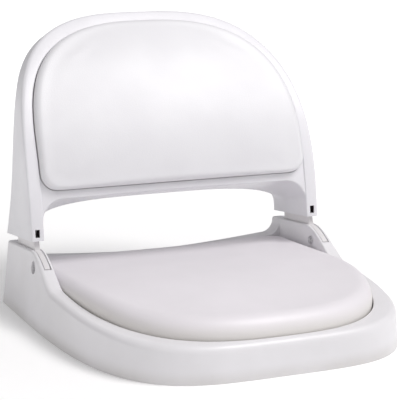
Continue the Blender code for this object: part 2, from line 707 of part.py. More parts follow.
def band_outline():
    """Front view of the band between the opening and the cushion pocket."""
    edge = POCKET_HALF_WIDTH
    key = edge + KEY_IN
    low = OPENING_TOP - OPENING_CORNER
    high = POCKET_BOTTOM + POCKET_CORNER
    outline = [(-key, low)]
    outline += arc((-edge + OPENING_CORNER, low), OPENING_CORNER, math.pi, math.pi / 2, 6)
    outline += arc((edge - OPENING_CORNER, low), OPENING_CORNER, math.pi / 2, 0, 6)
    outline += [(key, low), (key, high)]
    outline += arc((edge - POCKET_CORNER, high), POCKET_CORNER, 0, -math.pi / 2, 5)
    outline += arc((-edge + POCKET_CORNER, high), POCKET_CORNER, -math.pi / 2, -math.pi, 5)
    outline.append((-key, high))
    return outline


def pocket_line(grow, bottom, corner, steps):
    """Front view of the pocket, or of what fits in it, as (x, height)."""
    test = inside_super(POCKET_HALF_WIDTH + grow, POCKET_CENTRE, POCKET_TOP + grow - POCKET_CENTRE, POCKET_POWER)
    top = []
    for angle in np.linspace(0, math.pi, steps):
        heading = (math.cos(angle), math.sin(angle))
        distance = reach(test, (0.0, POCKET_CENTRE), heading, BACK_LENGTH)
        top.append((heading[0] * distance, POCKET_CENTRE + heading[1] * distance))
    edge = POCKET_HALF_WIDTH + grow
    left = arc((-edge + corner, bottom + corner), corner, math.pi, math.pi * 1.5, 5)
    right = arc((edge - corner, bottom + corner), corner, -math.pi / 2, 0, 5)
    return top + left + right


def slab(name, rows, near, far, end_rise=0.0):
    """A plate of the straight drawing, given as rows of (height, low x, high x); its rear corner may rise."""
    sections = []
    for height, low, high in rows:
        rear = height + (end_rise if height == rows[-1][0] else 0.0)
        sections.append([(low, near, height), (high, near, height), (high, far, rear), (low, far, rear)])
    return loft(name, sections)


def back_floor():
    """The plate behind the cushion; its edges end inside the thick rim."""
    rows = []
    top = POCKET_TOP + KEY_IN
    for height in list(np.linspace(POCKET_BOTTOM - KEY_IN, POCKET_CENTRE, 5)[:-1]) + list(
            POCKET_CENTRE + (top - POCKET_CENTRE) * np.sin(np.linspace(0, math.pi / 2, 13))):
        inner = reach(pocket_outline, (0.0, min(height, POCKET_TOP - KEY_IN)), (1.0, 0.0), BACK_LENGTH)
        half = inner + KEY_IN
        rows.append((height, -half, half))
    return slab("back_floor", rows, POCKET_DEPTH, POCKET_DEPTH + FLOOR_THICK)


def back_ribs():
    """Ribs across the rear of the back's floor, each ending inside the side wall."""
    near = POCKET_DEPTH + FLOOR_THICK / 2
    ribs = []
    for i, height in enumerate(BACK_RIB_HEIGHTS):
        end = reach(back_outline, (0.0, height), (1.0, 0.0), BACK_LENGTH) - WALL / 2
        low = (-end, near, height - RIB_THICK / 2)
        ribs.append(box("cross_rib_%d" % i, low, (end, BACK_RIB_DEPTH, height + RIB_THICK / 2)))
    for i in range(3):
        x = (i - 1) * BACK_RIB_SPREAD
        top = reach(back_outline, (x, 0.0), (0.0, 1.0), BACK_LENGTH * 2) - WALL / 2
        rows = [(h, x - RIB_THICK / 2, x + RIB_THICK / 2) for h in np.linspace(OPENING_TOP + WALL / 4, top, 13)]
        far = BACK_RIB_DEPTH - RIB_THICK / 2
        ribs.append(slab("upright_rib_%d" % i, rows, near, far, wall_lift(top) * far / TOP_DEPTH))
    return ribs


def back_screw_places():
    """Places of the screws that hold the back cushion, as (x, height)."""
    return [(side * BACK_SCREW_SPREAD, height) for height in BACK_SCREW_HEIGHTS for side in (-1, 1)]


def straight_rod(name, radius, near, far, x, height, sides):
    """A round bar of the straight drawing, along the depth, not yet bent."""
    turn = Matrix.Translation((x, 0, height)) @ Matrix.Rotation(-math.pi / 2, 4, "X")
    return rod(name, radius, near, far, sides, turn)


def tilt(mesh, height):
    """Moves a small piece of the straight drawing to its place on the back, without bending it."""
    lean = float(np.interp(height, curve_heights, curve_leans))
    foot = bend_point(0, 0, height)
    mesh.transform(Matrix.Translation(foot) @ Matrix.Rotation(-lean, 4, "X") @ Matrix.Translation((0, 0, -height)))
    return mesh


def make_back_shell(finish, parent):
    side_alongs = list(np.linspace(0, POCKET_CENTRE, 8)[:-1])
    places = stations(POCKET_CENTRE, 45, side_alongs)
    ring = loft("back_shell", [back_section(*at) for at in places])
    shell = place(bend(ring), "back_shell", finish)
    combine(shell, bend(back_floor()), "UNION")
    low_cuts = list(np.linspace(0, POCKET_BOTTOM + POCKET_CORNER, 6)[1:-1])
    band = front_plate("back_band", band_outline(), BAND_SETBACK, POCKET_DEPTH + FLOOR_THICK - FIT_GAP)
    combine(shell, bend(band, low_cuts), "UNION")
    flange = loft("opening_flange", [flange_section(angle) for angle in opening_angles()])
    combine(shell, bend(flange), "UNION")
    for rib in back_ribs():
        combine(shell, bend(rib), "UNION")
    for side, word in ((-1, "left"), (1, "right")):
        x = side * TONGUE_MIDDLE
        low = (x - WINDOW_WIDTH / 2, -OVERRUN, WINDOW_CENTRE_HEIGHT - WINDOW_HEIGHT / 2)
        high = (x + WINDOW_WIDTH / 2, RIM_THICK + OVERRUN, WINDOW_CENTRE_HEIGHT + WINDOW_HEIGHT / 2)
        combine(shell, tilt(box("window_" + word, low, high), WINDOW_CENTRE_HEIGHT), "DIFFERENCE")
    holes = []
    for x, height in back_screw_places():
        hole = straight_rod("hole", SCREW_RADIUS + FIT_GAP, 0, BACK_RIB_DEPTH, x, height, SMALL_SIDES)
        holes.append(tilt(hole, height))
    combine(shell, gather("back_holes", holes), "DIFFERENCE")
    finish_smooth(shell)
    follow(shell, parent)


# Cushions

def pad_rings(outline, centre, foot, top_level, shoulder, inset):
    """Rings of a cushion: from its drawn-in foot, up its bulging side and over the shoulder to the crown.

    Each ring is the outline moved towards the centre, with a level between foot and top.
    top_level(x, along) gives the crown's level, and inset is an inner skin's distance from the outer one.
    The shoulder's radius is one number, or one for each point of the outline.
    """
    middle = np.array(centre)
    line = np.array(outline)
    toward = middle - line
    length = np.linalg.norm(toward, axis=1, keepdims=True)
    toward /= length
    shoulder = np.broadcast_to(shoulder, len(line))
    across_shoulder = shoulder[:, None]
    rings = []
    for share, inward_share in SIDE_RING_SHARES:
        place_line = line + toward * (inset + CUSHION_DRAW_IN * inward_share)
        crown = np.array([top_level(*point) for point in place_line])
        level = foot + (crown - shoulder - foot) * share
        rings.append(np.column_stack((place_line, level)))
    for angle in SHOULDER_ANGLES:
        place_line = line + toward * (across_shoulder - (across_shoulder - inset) * math.cos(angle))
        crown = np.array([top_level(*point) for point in place_line])
        level = crown - shoulder + (shoulder - inset) * math.sin(angle)
        rings.append(np.column_stack((place_line, level)))
    for share in CROWN_RING_SHARES:
        place_line = line + toward * (across_shoulder + (length - across_shoulder) * share)
        crown = np.array([top_level(*point) for point in place_line])
        rings.append(np.column_stack((place_line, crown - inset)))
    return rings


def skin(name, rings, tip, swap):
    """Rings joined in order and closed by a fan on the tip; swap gives the axes' order of each point."""
    count = len(rings[0])
    points = [swap(*point) for ring in rings for point in ring]
    faces = []
    for row in range(len(rings) - 1):
        for i in range(count):
            j = (i + 1) % count
            start = row * count
            faces.append((start + i, start + j, start + count + j, start + count + i))
    last = (len(rings) - 1) * count
    points.append(swap(*tip))
    for i in range(count):
        faces.append((last + i, last + (i + 1) % count, len(points) - 1))
    return points, faces


def closed_skin(name, parts_list):
    """One closed mesh from point and face lists that share their border points."""
    mesh = bpy.data.meshes.new(name)
    points = []
    faces = []
    for some_points, some_faces in parts_list:
        start = len(points)
        points += some_points
        faces += [tuple(start + i for i in face) for face in some_faces]
    mesh.from_pydata(points, [], faces)
    work = bmesh.new()
    work.from_mesh(mesh)
    bmesh.ops.remove_doubles(work, verts=work.verts, dist=0.01 * MM)
    bmesh.ops.recalc_face_normals(work, faces=work.faces)
    work.to_mesh(mesh)
    work.free()
    return mesh


def strip(first, second, swap):
    """A band of faces between two rings of equal count."""
    count = len(first)
    points = [swap(*point) for point in first] + [swap(*point) for point in second]
    faces = [(i, (i + 1) % count, count + (i + 1) % count, count + i) for i in range(count)]
    return points, faces


def ring_at(outline, centre, inset, level):
    """The outline drawn in by an inset, at one level."""
    line = np.array(outline)
    toward = np.array(centre) - line
    toward /= np.linalg.norm(toward, axis=1, keepdims=True)
    return np.column_stack((line + toward * inset, np.full(len(line), level)))


def sparse(rings):
    """Every other ring of a hidden inner skin, with its foot ring kept."""
    return [rings[i] for i in (0, 2, 4, 6, 8)]


def cushion_cover(name, outline, centre, foot, top_level, shoulder, swap):
    """A thin vinyl cover: outer skin, inner skin and the hem tucked under the board's edge."""
    crown = top_level(*centre)
    outer = pad_rings(outline, centre, foot, top_level, shoulder, 0.0)
    inner = sparse(pad_rings(outline, centre, foot + VINYL, top_level, shoulder, VINYL))
    hem = CUSHION_DRAW_IN + HEM_WIDTH
    hem_low = ring_at(outline, centre, hem, foot)
    hem_high = ring_at(outline, centre, hem, foot + VINYL)
    pieces = [skin(name, outer, (*centre, crown), swap), skin(name, inner, (*centre, crown - VINYL), swap)]
    pieces.append(strip(outer[0], hem_low, swap))
    pieces.append(strip(hem_low, hem_high, swap))
    pieces.append(strip(hem_high, inner[0], swap))
    return closed_skin(name, pieces)


def cushion_foam(name, outline, centre, foot, top_level, shoulder, swap):
    """The foam block that fills the cover above its board."""
    inset = VINYL + FIT_GAP
    rings = sparse(pad_rings(outline, centre, foot, top_level, shoulder, inset))
    body = skin(name, rings, (*centre, top_level(*centre) - inset), swap)
    under = ring_at(outline, centre, inset + CUSHION_DRAW_IN, foot)
    points = [swap(*point) for point in under]
    base = (points, [tuple(range(len(points)))])
    return closed_skin(name, [body, base])


def seat_top(x, y):
    """Crown of the seat cushion: highest ahead of its middle, lower at the rear, the front and the sides."""
    ahead = REAR_Y - y
    rear = smooth_step(SEAT_CROWN_AT - ahead, 0.0, SEAT_CROWN_AT - SEAT_REAR)
    front = smooth_step(ahead - SEAT_CROWN_AT, 0.0, SEAT_FRONT - SEAT_CROWN_AT)
    side = (abs(x) / SEAT_HALF_WIDTH) ** 2
    dish = SEAT_REAR_DISH * rear * side
    return SEAT_CROWN_HEIGHT + dish - SEAT_REAR_DROP * rear - SEAT_FRONT_DROP * front - SEAT_SIDE_DROP * side


def seat_shoulders(outline):
    """Radius of the seat cushion's shoulder at each point of its outline, fuller towards the front."""
    radii = []
    for x, y in outline:
        forward = max(REAR_Y - SEAT_CENTRE - y, 0.0) / math.hypot(x, REAR_Y - SEAT_CENTRE - y)
        radii.append(SEAT_SHOULDER + (SEAT_FRONT_SHOULDER - SEAT_SHOULDER) * forward ** 2)
    return np.array(radii)


def back_top(x, height):
    """Crown of the back cushion, as how far it stands proud of the back's front face."""
    middle = (POCKET_BOTTOM + POCKET_TOP) / 2
    half = (POCKET_TOP - POCKET_BOTTOM) / 2
    fall = max(abs(x) / POCKET_HALF_WIDTH, abs(height - middle) / half) ** 2
    return BACK_CROWN - (BACK_CROWN - BACK_CROWN_SIDE) * fall


def level_swap(x, y, level):
    return (x, y, level)


def back_swap(x, height, proud):
    return (x, -proud, height)


def make_seat_cushion(cover_finish, foam_finish, board_finish, screw_finish):
    outline = seat_outline(0.0)
    centre = (0.0, REAR_Y - (SEAT_REAR + SEAT_FRONT) / 2)
    foot = DECK_TOP + FIT_GAP
    shoulders = seat_shoulders(outline)
    cover = place(cushion_cover("cover", outline, centre, foot, seat_top, shoulders, level_swap),
                  "seat_cushion_cover", cover_finish)
    finish_smooth(cover)
    board_low = foot + VINYL + FIT_GAP
    board_high = board_low + SEAT_BOARD_THICK
    board_line = seat_outline(-(CUSHION_DRAW_IN + BOARD_INSET))
    board = place(plate("board", board_line, board_low, board_high), "seat_cushion_board", board_finish)
    foam_mesh = cushion_foam("foam", outline, centre, board_high + FIT_GAP, seat_top, shoulders, level_swap)
    finish_smooth(place(foam_mesh, "seat_cushion_foam", foam_finish))

    bite = SEAT_BOARD_THICK * SCREW_BITE_SHARE
    holes = []
    head_top = DECK_TOP - DECK_THICK - FIT_GAP
    tip = board_low + bite
    for i, (x, y) in enumerate(seat_screw_places()):
        radius = SCREW_RADIUS + FIT_GAP
        holes.append(rod("hole", radius, board_low - OVERRUN, tip + FIT_GAP, SMALL_SIDES, upright(x, y, 0)))
        held = screw("screw", tip, head_top, upright(x, y, 0))
        finish_smooth(place(held, "seat_cushion_screw_%d" % (i + 1), screw_finish))
    combine(board, gather("seat_board_holes", holes), "DIFFERENCE")


def screw(name, tip, seat, standing):
    """A pan-head screw: its head's flat face on the seat level and its shank up to the tip."""
    low = seat - SCREW_HEAD_THICK
    profile = [(0, tip), (SCREW_RADIUS * 0.6, tip), (SCREW_RADIUS, tip - SCREW_RADIUS), (SCREW_RADIUS, seat)]
    profile += [(SCREW_HEAD_RADIUS, seat), (SCREW_HEAD_RADIUS, low + SCREW_HEAD_THICK / 2)]
    profile += [(SCREW_HEAD_RADIUS * 0.7, low), (0, low)]
    return turned(name, profile, SMALL_SIDES, standing)


def make_back_cushion(cover_finish, foam_finish, board_finish, screw_finish, parent):
    outline = pocket_line(-CUSHION_GAP, POCKET_BOTTOM + CUSHION_GAP, POCKET_CORNER - CUSHION_GAP,
                          CUSHION_STEPS // 2)
    centre = (0.0, (POCKET_BOTTOM + POCKET_TOP) / 2)
    foot = -(POCKET_DEPTH - FIT_GAP)
    cover_mesh = cushion_cover("cover", outline, centre, foot, back_top, BACK_SHOULDER, back_swap)
    cuts = list(np.linspace(POCKET_BOTTOM, POCKET_TOP, 11)[1:-1])
    cover = place(bend(cover_mesh, cuts), "back_cushion_cover", cover_finish)
    finish_smooth(cover)
    board_far = -(foot + VINYL + FIT_GAP)
    board_near = board_far - BACK_BOARD_THICK
    inset = CUSHION_DRAW_IN + BOARD_INSET
    line = pocket_line(-CUSHION_GAP - inset, POCKET_BOTTOM + CUSHION_GAP + inset, POCKET_CORNER - inset, 31)
    board = place(bend(front_plate("board", line, board_near, board_far), cuts), "back_cushion_board", board_finish)
    foam_mesh = cushion_foam("foam", outline, centre, FIT_GAP - board_near, back_top, BACK_SHOULDER, back_swap)
    foam = place(bend(foam_mesh, cuts), "back_cushion_foam", foam_finish)
    finish_smooth(foam)

    bite = BACK_BOARD_THICK * SCREW_BITE_SHARE
    tip = board_far - bite
    seat = POCKET_DEPTH + FLOOR_THICK + FIT_GAP
    holes = []
    for i, (x, height) in enumerate(back_screw_places()):
        hole = straight_rod("hole", SCREW_RADIUS + FIT_GAP, tip - FIT_GAP, board_far + OVERRUN, x, height, SMALL_SIDES)
        holes.append(tilt(hole, height))
        turn = Matrix.Translation((x, 0, height)) @ Matrix.Rotation(math.pi / 2, 4, "X")
        held_mesh = tilt(screw("screw", -tip, -seat, turn), height)
        held = place(held_mesh, "back_cushion_screw_%d" % (i + 1), screw_finish)
        finish_smooth(held)
        follow(held, parent)
    combine(board, gather("back_board_holes", holes), "DIFFERENCE")
    for piece in (cover, foam, board):
        follow(piece, parent)


# Hinge

def tongue_outline():
    """Side view of a hinge arm's tongue: its front follows the ear's slope, its rear edge is the stop."""
    leg_gap = -2 * FIT_GAP
    front_top = bend_point(0, TONGUE_FRONT_SETBACK, leg_gap)
    outline = [front_top[1:]]
    for ahead in np.linspace(LEG_FRONT_AHEAD - TONGUE_FRONT_SETBACK / 2, PIVOT_AHEAD + NOSE_REACH * 0.94, 8):
        height = min(rim_height(ahead) - 2 * FIT_GAP, front_top[2] - TONGUE_FRONT_SETBACK / 2)
        outline.append((REAR_Y - ahead, height))
    floor = SLOT_FLOOR_HEIGHT + FIT_GAP
    outline.append((REAR_Y - PIVOT_AHEAD - NOSE_REACH * 0.9, PIVOT_HEIGHT - NOSE_REACH * 0.22))
    outline.append((REAR_Y - PIVOT_AHEAD - NOSE_REACH * 0.55, floor))
    rear = REAR_Y - SLOT_REAR_AHEAD - FIT_GAP
    outline += [(rear - WALL, floor), (rear, floor + WALL)]
    rear_depth = (rear - front_top[1]) / math.cos(LEAN_LOW) + TONGUE_FRONT_SETBACK
    outline.append(bend_point(0, rear_depth, leg_gap)[1:])
    outline.append(bend_point(0, rear_depth - WALL, WALL)[1:])
    outline.append(bend_point(0, RIM_THICK + WALL, WALL)[1:])
    outline.append(bend_point(0, RIM_THICK + WALL, leg_gap)[1:])
    return outline


def root_outline():
    """Side view of the arm's root, which fills the hollow leg behind its front wall."""
    near = RIM_THICK + FIT_GAP
    far = LEG_FRONT_AHEAD - SLOT_REAR_AHEAD - TONGUE_FRONT_SETBACK / 2
    heights = np.linspace(0, ROOT_HEIGHT, 7)
    front = [bend_point(0, near, height)[1:] for height in heights]
    rear = []
    for height in heights[::-1]:
        depth = far + (ROOT_TOP_DEPTH - far) * height / ROOT_HEIGHT
        rear.append(bend_point(0, depth, height)[1:])
    return front + rear


def make_hinge(side, word, finishes, parent):
    middle = side * TONGUE_MIDDLE
    root_low = POCKET_HALF_WIDTH + WALL + ROOT_SIDE_GAP
    root_high = BACK_HALF_WIDTH - WALL - ROOT_SIDE_GAP
    low, high = sorted((side * root_low, side * root_high))
    arm = place(side_plate("root", root_outline(), low, high), "hinge_arm_" + word, finishes["arm"])
    half = TONGUE_THICK / 2
    combine(arm, side_plate("tongue_" + word, tongue_outline(), middle - half, middle + half), "UNION")
    bore = rod("tongue_bore_" + word, BORE_RADIUS, -TONGUE_THICK, TONGUE_THICK, PIN_SIDES,
               across(side, middle, PIVOT.y, PIVOT.z))
    combine(arm, bore, "DIFFERENCE")
    near = RIM_THICK - OVERRUN
    pocket_low = (middle - WINDOW_WIDTH / 2, near, WINDOW_CENTRE_HEIGHT - WINDOW_HEIGHT / 2)
    pocket_high = (middle + WINDOW_WIDTH / 2, RIM_THICK + WINDOW_POCKET, WINDOW_CENTRE_HEIGHT + WINDOW_HEIGHT / 2)
    combine(arm, tilt(box("snap_pocket_" + word, pocket_low, pocket_high), WINDOW_CENTRE_HEIGHT), "DIFFERENCE")
    finish_smooth(arm)
    follow(arm, parent)

    stand = across(side, 0, PIVOT.y, PIVOT.z)
    seat = PIN_SEAT_X + FIT_GAP
    tip = WELL_HALF_WIDTH - FIT_GAP - RETAINER_THICK * 2
    profile = [(0, seat + PIN_HEAD_THICK), (PIN_HEAD_RADIUS - FIT_GAP, seat + PIN_HEAD_THICK)]
    profile += [(PIN_HEAD_RADIUS, seat + PIN_HEAD_THICK - FIT_GAP), (PIN_HEAD_RADIUS, seat), (PIN_RADIUS, seat)]
    profile += [(PIN_RADIUS, tip + FIT_GAP), (PIN_RADIUS - FIT_GAP, tip), (0, tip)]
    finish_smooth(place(turned("pin", profile, PIN_SIDES, stand), "hinge_pin_" + word, finishes["pin"]))

    ring_low = WELL_HALF_WIDTH - FIT_GAP - RETAINER_THICK
    profile = ring_profile(PIN_RADIUS + FIT_GAP, RETAINER_RADIUS, ring_low, ring_low + RETAINER_THICK)
    ring = place(turned("ring", profile, PIN_SIDES, stand), "pin_retainer_" + word, finishes["pin"])
    finish_smooth(ring)

    inner_face = TONGUE_MIDDLE - TONGUE_THICK / 2 - WASHER_GAP - WASHER_THICK
    outer_face = TONGUE_MIDDLE + TONGUE_THICK / 2 + WASHER_GAP
    for low, where in ((inner_face, "inner"), (outer_face, "outer")):
        profile = ring_profile(PIN_RADIUS + FIT_GAP, WASHER_RADIUS, low, low + WASHER_THICK)
        washer = turned("washer", profile, PIN_SIDES, stand)
        finish_smooth(place(washer, "thrust_washer_%s_%s" % (word, where), finishes["washer"]))


def ring_profile(inner, outer, low, high):
    """Closed profile of a flat ring, its outer side first."""
    return [(outer, high), (outer, low), (inner, low), (inner, high)]


def follow(piece, parent):
    """Parents a piece to the empty on the fold's axis, without moving it."""
    piece.parent = parent
    piece.matrix_parent_inverse = Matrix.Translation(parent.location).inverted()


def make_inserts(finish):
    profile = ring_profile(INSERT_BORE_RADIUS, INSERT_RADIUS, FIT_GAP, INSERT_LENGTH + FIT_GAP)
    for i, (x, y) in enumerate(bolt_places()):
        insert = turned("insert", profile, PIN_SIDES // 2, upright(x, y, 0))
        finish_smooth(place(insert, "threaded_insert_%d" % (i + 1), finish))


white_plastic = (0.86, 0.86, 0.89)
shell_finish = material("base_moulding", white_plastic, 0.34)
back_finish = material("back_moulding", white_plastic, 0.34)
seat_vinyl = material("seat_vinyl", (0.88, 0.87, 0.86), 0.46)
back_vinyl = material("back_vinyl", (0.88, 0.87, 0.86), 0.46)
foam_finish = material("foam", (0.86, 0.80, 0.58), 0.9)
board_finish = material("board", (0.05, 0.05, 0.055), 0.6)
steel = material("stainless_steel", (0.62, 0.62, 0.63), 0.3, 1.0)
brass = material("brass", (0.72, 0.55, 0.28), 0.35, 1.0)
nylon = material("nylon", (0.85, 0.85, 0.83), 0.5)
arm_finish = material("arm_moulding", (0.84, 0.84, 0.87), 0.4)

fold_axis = bpy.data.objects.new("fold_axis", None)
fold_axis.location = PIVOT
parts.objects.link(fold_axis)

make_base_shell(shell_finish)
make_inserts(brass)
make_seat_cushion(seat_vinyl, foam_finish, board_finish, steel)
make_back_shell(back_finish, fold_axis)
make_back_cushion(back_vinyl, foam_finish, board_finish, steel, fold_axis)
hinge_finishes = {"arm": arm_finish, "pin": steel, "washer": nylon}
for hinge_side, hinge_word in ((-1, "left"), (1, "right")):
    make_hinge(hinge_side, hinge_word, hinge_finishes, fold_axis)
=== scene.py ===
"""Folding boat seat: the looks of its mouldings, cushions and hinge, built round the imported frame."""
import json
import math

import bmesh
import bpy
import numpy as np
from mathutils import Matrix, Vector


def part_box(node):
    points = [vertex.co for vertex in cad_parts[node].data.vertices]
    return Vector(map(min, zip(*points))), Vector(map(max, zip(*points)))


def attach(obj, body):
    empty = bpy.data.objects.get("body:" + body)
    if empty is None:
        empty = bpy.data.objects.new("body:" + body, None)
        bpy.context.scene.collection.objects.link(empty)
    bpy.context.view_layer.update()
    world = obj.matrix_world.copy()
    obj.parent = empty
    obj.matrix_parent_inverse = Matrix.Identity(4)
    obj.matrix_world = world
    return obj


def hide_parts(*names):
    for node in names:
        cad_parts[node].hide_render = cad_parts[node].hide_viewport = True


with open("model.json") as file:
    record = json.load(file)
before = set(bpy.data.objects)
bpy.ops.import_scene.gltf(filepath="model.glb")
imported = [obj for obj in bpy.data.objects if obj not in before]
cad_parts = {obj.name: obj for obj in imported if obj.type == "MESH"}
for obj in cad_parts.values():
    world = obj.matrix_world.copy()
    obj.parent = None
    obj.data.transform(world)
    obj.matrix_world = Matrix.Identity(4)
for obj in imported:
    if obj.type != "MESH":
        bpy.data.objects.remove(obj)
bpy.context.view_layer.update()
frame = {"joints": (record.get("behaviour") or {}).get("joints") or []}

MM = 0.001


def shown(name, data):
    """An object for a mesh, camera or lamp, in the scene's own collection."""
    piece = bpy.data.objects.new(name, data)
    bpy.context.scene.collection.objects.link(piece)
    return piece


def add_node(tree, kind, feeds=None, **settings):
    """One shader node: its settings made, and each socket given a value or joined to another node's output."""
    made = tree.nodes.new(kind)
    for name, value in settings.items():
        setattr(made, name, value)
    for socket, value in (feeds or {}).items():
        if isinstance(value, bpy.types.NodeSocket):
            tree.links.new(value, made.inputs[socket])
        else:
            made.inputs[socket].default_value = value
    return made


def noise(tree, place, scale, detail, roughness=0.5):
    """The factor of a noise texture."""
    return add_node(tree, "ShaderNodeTexNoise", {"Vector": place, "Scale": scale, "Detail": detail,
                                                 "Roughness": roughness}).outputs["Fac"]


def spread(tree, value, low, high, first, last, kind="SMOOTHSTEP"):
    """The value's range from low to high moved to first to last."""
    return add_node(tree, "ShaderNodeMapRange", {"Value": value, "From Min": low, "From Max": high, "To Min": first,
                                                 "To Max": last}, interpolation_type=kind).outputs["Result"]


def sum_of(tree, first, second, how="ADD"):
    """Two values added, or joined in another way."""
    return add_node(tree, "ShaderNodeMath", {0: first, 1: second}, operation=how).outputs[0]


def tinted(tree, factor, first, second):
    """A colour between two, by a factor."""
    made = add_node(tree, "ShaderNodeMix", {0: factor}, data_type="RGBA")
    for socket, value in ((made.inputs[6], first), (made.inputs[7], second)):
        if isinstance(value, bpy.types.NodeSocket):
            tree.links.new(value, socket)
        else:
            socket.default_value = (*value, 1.0)
    return made.outputs[2]


# The studio: a pale floor that glows more away from the seat, one broad soft lamp high on the right, a
# weaker one low on the left and a pale surround, seen through a long lens from the photograph's standpoint.
LENS_MM = 132.75
SENSOR_MM = 36.0
CAMERA_AT = Vector((-0.7979, -1.8250, 0.5835))
CAMERA_AIM = Vector((-0.00215, 0.0418, 0.17185))

lens = bpy.data.cameras.new("long_lens")
lens.lens = LENS_MM
lens.sensor_width = SENSOR_MM


def aimed(name, data, place, aim):
    """A camera or lamp at one place, turned towards another."""
    piece = shown(name, data)
    piece.location = place
    piece.rotation_euler = (Vector(aim) - Vector(place)).to_track_quat("-Z", "Y").to_euler()
    return piece


def soft_lamp(name, place, aim, size, watts, tint):
    """A square area lamp."""
    light = bpy.data.lights.new(name, "AREA")
    light.shape = "SQUARE"
    light.size = size
    light.energy = watts
    light.color = tint
    return aimed(name, light, place, aim)


bpy.context.scene.camera = aimed("camera", lens, CAMERA_AT, CAMERA_AIM)
soft_lamp("key_lamp", place=(1.15, -1.05, 2.7), aim=(0, 0, 0.15), size=1.4, watts=62.0, tint=(1.0, 0.985, 0.985))
soft_lamp("fill_lamp", place=(-2.2, -1.4, 1.0), aim=(0, 0, 0.2), size=1.8, watts=5.0, tint=(1.0, 0.96, 0.94))

SURROUND_COLOUR = (1.0, 0.99, 1.0, 1.0)
SURROUND_STRENGTH = 0.4
surround = bpy.data.worlds.new("pale_surround")
surround.use_nodes = True
surround.node_tree.nodes["Background"].inputs["Color"].default_value = SURROUND_COLOUR
surround.node_tree.nodes["Background"].inputs["Strength"].default_value = SURROUND_STRENGTH
bpy.context.scene.world = surround
bpy.context.scene.view_settings.view_transform = "Standard"

FLOOR_REACH = 9.0
FLOOR_LEVEL = -0.2 * MM
FLOOR_GREY = (0.93, 0.93, 0.93, 1.0)
FLOOR_ROUGHNESS = 0.8
FLOOR_GLOW_FROM, FLOOR_GLOW_TO = 0.25, 2.6
FLOOR_GLOW_NEAR, FLOOR_GLOW_FAR = 0.12, 0.85

floor_mesh = bpy.data.meshes.new("studio_floor")
floor_corners = [(x * FLOOR_REACH, y * FLOOR_REACH, FLOOR_LEVEL) for x, y in ((-1, -1), (1, -1), (1, 1), (-1, 1))]
floor_mesh.from_pydata(floor_corners, [], [(0, 1, 2, 3)])
studio_floor = shown("studio_floor", floor_mesh)
floor_paint = bpy.data.materials.new("floor_paint")
floor_paint.use_nodes = True
floor_tree = floor_paint.node_tree
floor_shader = floor_tree.nodes["Principled BSDF"]
floor_shader.inputs["Base Color"].default_value = FLOOR_GREY
floor_shader.inputs["Roughness"].default_value = FLOOR_ROUGHNESS
floor_shader.inputs["Emission Strength"].default_value = 1.0
floor_place = add_node(floor_tree, "ShaderNodeTexCoord").outputs["Object"]
floor_distance = add_node(floor_tree, "ShaderNodeVectorMath", {0: floor_place}, operation="LENGTH").outputs["Value"]
floor_glow = spread(floor_tree, floor_distance, FLOOR_GLOW_FROM, FLOOR_GLOW_TO, FLOOR_GLOW_NEAR, FLOOR_GLOW_FAR,
                    "LINEAR")
floor_tree.links.new(floor_glow, floor_shader.inputs["Emission Color"])
floor_mesh.materials.append(floor_paint)


# The base moulding: one white injection-moulded tray of about 3.6 mm wall. A sloping skirt rises to a
# rounded rim and to two hinge ears at the rear, a deck carries the cushion, and ribs stiffen it below.
base_low, base_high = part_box("seat_base_shell")
REAR_Y = base_high.y
BASE_HALF_WIDTH = base_high.x
BASE_DEPTH = base_high.y - base_low.y
SEAT_HALF_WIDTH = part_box("seat_cushion_cover")[1].x
SEAT_FRONT = REAR_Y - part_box("seat_cushion_cover")[0].y
SEAT_REAR = REAR_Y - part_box("seat_cushion_cover")[1].y
SEAT_REAR_CORNER = 26.0 * MM
SEAT_CENTRE = 191.0 * MM
SEAT_POWER = 2.7
WALL = 3.6 * MM
FIT_GAP = 0.3 * MM
KEY_IN = 1.8 * MM
WELL_GAP = 1.2 * MM
WELL_HALF_WIDTH = SEAT_HALF_WIDTH + WELL_GAP
BASE_POWER = 4.0
SIDE_LEAN = 0.118
FRONT_LEAN = 0.04
RIM_FRONT_HEIGHT = 48.8 * MM
RIM_SLOPE = 0.0565
RIM_INNER_ROUND = 2.2 * MM
FRONT_ROUND = 11.5 * MM
SIDE_ROUND = 8.0 * MM
EAR_ROUND = 3.6 * MM
REAR_CORNER_ROUND = 7.0 * MM
EAR_REAR_HEIGHT = 92.0 * MM
EAR_FRONT_HEIGHT = 103.0 * MM
EAR_LENGTH = 128.0 * MM
EAR_SLOPE_START = 115.0 * MM
EAR_SLOPE_END = 215.0 * MM
RIM_HOLLOW_TOP = 51.0 * MM
EAR_HOLLOW_TOP = 43.0 * MM
DECK_TOP = 36.0 * MM
DECK_THICK = 3.4 * MM
REAR_RIM_HEIGHT = 57.0 * MM
REAR_RIM_RISE = 11.0 * MM
REAR_RIM_POWER = 1.6
REAR_RIM_WIDTH = 27.0 * MM
REAR_FILLET = 20.0 * MM
BEAM_EDGE_ROUND = 2.2 * MM
RIB_DEPTH = 30.0 * MM
RIB_THICK = 3.0 * MM
BOLT_SPREAD_X = 127.0 * MM
BOLT_SPREADS_Y = (127.0 * MM, 304.8 * MM)
BOSS_RADIUS = 9.5 * MM
HUB_RADIUS = 16.0 * MM
INSERT_HOLE_RADIUS = 5.3 * MM
INSERT_HOLE_DEPTH = 14.6 * MM
CROSS_RIB_SHARES = (0.185, 0.342, 0.5, 0.658, 0.815)
SEAT_SCREW_SHARES = (0.14, 0.42, 0.74)
SCREW_HOLE_RADIUS = 2.4 * MM
OVERRUN = 4.0 * MM
SIDE_STATIONS = 46
TURN_STATIONS = 181
RIB_LIMIT_STATIONS = 61
DIP_STATIONS = 61
CORNER_SHARES = (0.0, 0.01, 0.05, 0.12, 0.22, 0.35, 0.5, 0.66, 0.82)
RAY_HALVINGS = 40
SHARP_ANGLE = 0.6
